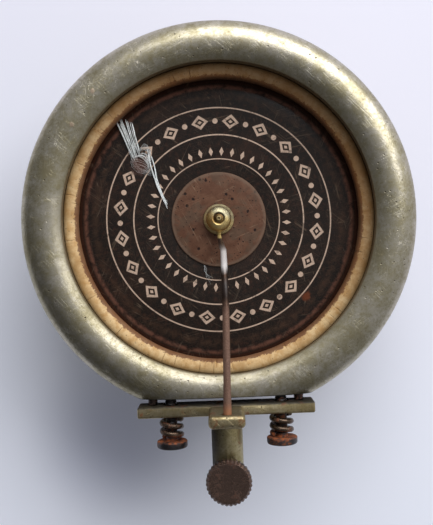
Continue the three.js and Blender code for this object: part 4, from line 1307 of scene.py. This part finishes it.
def clamp_ring(look):
    outer = (clamp_high.x - clamp_low.x) / 2
    wall = outer - CLAMP_FOOT
    sheet = CLAMP_SHEET
    rear, front = clamp_low.z, clamp_high.z
    profile = fillet([(CLAMP_LIP_R, rear, 0.3), (wall, rear, 1.1), (wall, front - sheet, 0.35),
                      (outer, front - sheet, 0.25), (outer, front, 0.15),
                      (wall - sheet, front, 0.1), (wall - sheet, rear + sheet, 0.3),
                      (CLAMP_LIP_R, rear + sheet, 0.3)], 6)
    shape = lathe(profile, 180, y=AXIS_Y)
    holes = (front - sheet - 1, front + 1)
    tools = rods_on_circle(SCREW_HOLE_R, *holes, CLAMP_CIRCLE, CLAMP_ANGLES, 36)
    tools += rods_on_circle(BACK_HEAD_R + 0.3, *holes, BACK_CIRCLE, BACK_ANGLES, 36)
    shape = softened(carved(shape, *tools), 0.08, 55)
    piece("clamp_ring_pressed", shape, "case", look, "case_nickel", "isolator_clamp_ring")


def collar(look):
    bore, wall = COLLAR_BORE_R, COLLAR_WALL_R
    flange = (collar_high.x - collar_low.x) / 2
    rear, front = collar_low.z, collar_high.z
    flange_low = front - COLLAR_FLANGE_T
    profile = fillet([(bore, rear, 0.3), (wall, rear, 0.4), (wall, flange_low, 0.25),
                      (flange, flange_low, 0.15), (flange, front, 0.15), (bore, front, 0.2)], 4)
    shape = lathe(profile, 180, y=AXIS_Y)
    a, leg = math.radians(78), math.radians(24)
    wide, deep = 2.4, 4.2

    def turned(mesh):
        def spin(p):
            return np.stack([p[:, 0] * math.cos(a) - p[:, 1] * math.sin(a),
                             AXIS_Y + p[:, 0] * math.sin(a) + p[:, 1] * math.cos(a), p[:, 2]], 1)

        return moved(mesh, spin)

    mouth = turned(block((bore - 1, -wide / 2, rear - 1), (wall + 1, wide / 2, deep)))
    arc = [leg * i / 16 for i in range(17)]
    sector = [(r * math.cos(t), r * math.sin(t)) for r, ts in
              ((wall + 1, arc), (bore - 1, arc[::-1])) for t in ts]
    count = len(sector)
    points = [(x, y, z) for z in (deep - wide, deep) for x, y in sector]
    faces = [tuple(range(count)), tuple(range(count, 2 * count))]
    faces += [(i, (i + 1) % count, count + (i + 1) % count, count + i) for i in range(count)]
    shape = carved(shape, mouth)
    shape = softened(carved(shape, turned(mesh_of(points, faces))), 0.1, 55)
    piece("collar_turned", shape, "case", look, "case_nickel", "tone_arm_collar")


def back_screws(look, ringed):
    """Six slotted screws: three in the back plate's rim and three in the clamp ring's foot."""
    head = [(0, -BACK_HEAD_T), (BACK_HEAD_R, -BACK_HEAD_T, 0.28), (BACK_HEAD_R, 0, 0.06),
            (BACK_SHANK_R, 0, 0.04)]
    screw = lathe([*fillet(head, 4), (BACK_SHANK_R, 2.4), (0, 2.75)], 40, closed=False)
    slot = block((-SLOT_REACH, -0.27, -2), (SLOT_REACH, 0.27, 0.45 - BACK_HEAD_T))
    screw = softened(carved(screw, slot), 0.04, 60)
    rear = span("back_plate_screw_1")[0].z + BACK_HEAD_T
    front = span("clamp_screw_1")[0].z + BACK_HEAD_T
    mesh = ringed.made(screw, look, OuterHeight=rear, InnerHeight=front)
    mesh = moved(mesh, lambda p: p + np.array([0, AXIS_Y, 0]))
    nodes = [f"{kind}_screw_{i}" for kind in ("back_plate", "clamp") for i in (1, 2, 3)]
    piece("back_screws", mesh, "case", look, "dark_steel", *nodes)


# Light, table and camera


def table_top():
    """The pale paper beneath the soundbox, painted a little darker towards the far side,
    with a bluish painted shadow beside the case's near left side.
    """
    look = Look("pale_paper")
    fibre = look.noise(0.35, 4.0, 0.6)
    # A painted light gradient: the paper is painted a little darker towards the far side.
    far_side_shade = (look.y * 0.85 + look.x * 0.35 + fibre * 4.0).step(-30.0, 46.0)
    # A painted shadow beside the case's near left side, bluish grey.
    painted_shadow = look.away(-20.0, -32.0 - AXIS_Y).step(19.0, 2.0)
    base = look.layers(
        (242, 245, 255), (far_side_shade, (236, 235, 246)), (painted_shadow * 0.65, (180, 184, 204)))
    paper = look.done(base, 0.75, 0.0, None, 0.0, Specular_IOR_Level=0.2)
    size = 1.2 / MM
    mesh = block((-size, -size, -2.0), (size, size, 0.0))
    mesh.materials.append(paper)
    held(mesh, "table_top")


def soft_light(name, place, target, wide, high, power, tint):
    data = bpy.data.lights.new(name, "AREA")
    data.shape, data.size, data.size_y = "RECTANGLE", wide, high
    data.energy, data.color = power, tint
    made = held(data, name)
    made.location = place
    made.rotation_euler = (Vector(target) - Vector(place)).to_track_quat("-Z", "Y").to_euler()


def room():
    """The room's light: bright towards the far side and dark on the near one."""
    world = bpy.data.worlds.new("room")
    bpy.context.scene.world = world
    world.use_nodes = True
    tree = Tree(world.node_tree)
    tree.nodes.clear()
    way = tree.node("ShaderNodeTexCoord", {}, {}, "Generated")
    x, y, _ = tree.parts(way)
    a = math.radians(36)
    towards = x * math.sin(a) + y * math.cos(a)
    level = 0.1 + towards.step(-0.7, 0.3) * 0.4 + towards.step(0.35, 0.95) * 0.58
    tint = tree.node("ShaderNodeMix", {"data_type": "RGBA"},
                     {"Factor_Float": towards.step(-0.6, 0.8), "A_Color": [0.89, 0.91, 1.0, 1.0],
                      "B_Color": [0.96, 0.965, 1.0, 1.0]}, "Result_Color")
    lit = tree.node("ShaderNodeBackground", {}, {"Color": tint, "Strength": level})
    tree.node("ShaderNodeOutputWorld", {}, {"Surface": lit})


def lights():
    target = (0.0, 0.0, 0.02)
    soft_light("window", (0.165, 0.31, 0.335), target, 0.56, 0.3, 2.25, (0.97, 0.98, 1.0))


def camera():
    data = bpy.data.cameras.new("overhead")
    data.sensor_width, data.sensor_fit = 36.0, "AUTO"
    data.lens = LENS
    data.clip_start, data.clip_end = 0.01, 5.0
    made = held(data, "overhead")
    made.location = (CAMERA_X * MM, CAMERA_Y * MM, CAMERA_Z * MM)
    made.rotation_euler = (0.0, 0.0, -CAMERA_ROLL)
    bpy.context.scene.camera = made


def build():
    swept, springs = swept_recipe(), spring_recipe()
    toothed, ringed = toothed_recipe(), ringed_recipe()
    # Each dark part is painted shade: the case's flat, the crossbar's face towards the case and
    # the holder's left side.
    case_look = nickel("case_nickel", 0.0, round_case=True, tint=(250, 246, 239),
                       dark=("y", FLAT_Y + 0.2, FLAT_Y + 0.04))
    back_look = nickel("back_nickel", 40.0, wear=1.2, rust=0.4, tint=(250, 246, 239))
    crossbar_look = nickel("crossbar_nickel", 17.0, wear=2.1, rust=0.5, tint=(246, 232, 202),
                           dark=("y", bar_high.y - 0.42, bar_high.y - 0.16))
    holder_look = nickel("holder_nickel", 29.0, wear=1.3, rust=0.3, tint=(244, 234, 206),
                         dark=("x", 0.9, -2.3))
    brass_look = brass("hub_brass", 6.0)
    round_case(case_look)
    rubber = aged_rubber()
    gasket("front_gasket_tube", "front_gasket", rubber, 58, 3)
    gasket("rear_gasket_tube", "rear_gasket", rubber, 60, 8)
    holed_disc("mica_disc", "diaphragm", printed_mica(), "printed_mica",
               (0.03, 0.06, 0.06, 0.03), 192, 2)
    holed_disc("fibre_disc", "centre_disc", brown_fibre(), "brown_fibre",
               (0.03, 0.03, 0.2, 0.03), 128)
    hub(brass_look)
    crack_splinters(torn_mica(), swept)
    crossbar(crossbar_look)
    stylus_bar(bar_steel(), swept)
    needle_holder(holder_look)
    thumbscrew(steel("thumbscrew_steel", 14.0, (74, 59, 51), 0.42, 0.0, 0.55), toothed)
    for side, name, seed in ((-1, "left", 2.0), (1, "right", 33.0)):
        pivot(side, name, steel(f"{name}_pivot_steel", seed + 5, (34, 28, 26), 0.55,
                                0.1 if side < 0 else 0.5))
        head_top, foot = screw_low.y + HEAD_T, screw_low.y + HEAD_T + 0.9
        tension_screw(side, name, steel(f"{name}_screw_steel", seed + 9, (46, 44, 44), 0.5,
                                        0.3, 0.35, (head_top + 0.1, 0.55)))
        tension_spring(side, name, steel(f"{name}_coil_steel", seed, (66, 54, 44), 0.42, 0.25,
                                         0.9, (foot - 0.4, 0.7)), springs)
    back_plate(back_look)
    isolator(black_rubber())
    clamp_ring(back_look)
    collar(back_look)
    back_screws(steel("back_screw_steel", 51.0, (70, 64, 56), 0.45, 0.4), ringed)


build()
table_top()
room()
lights()
camera()
bpy.context.scene.view_settings.view_transform = "Standard"
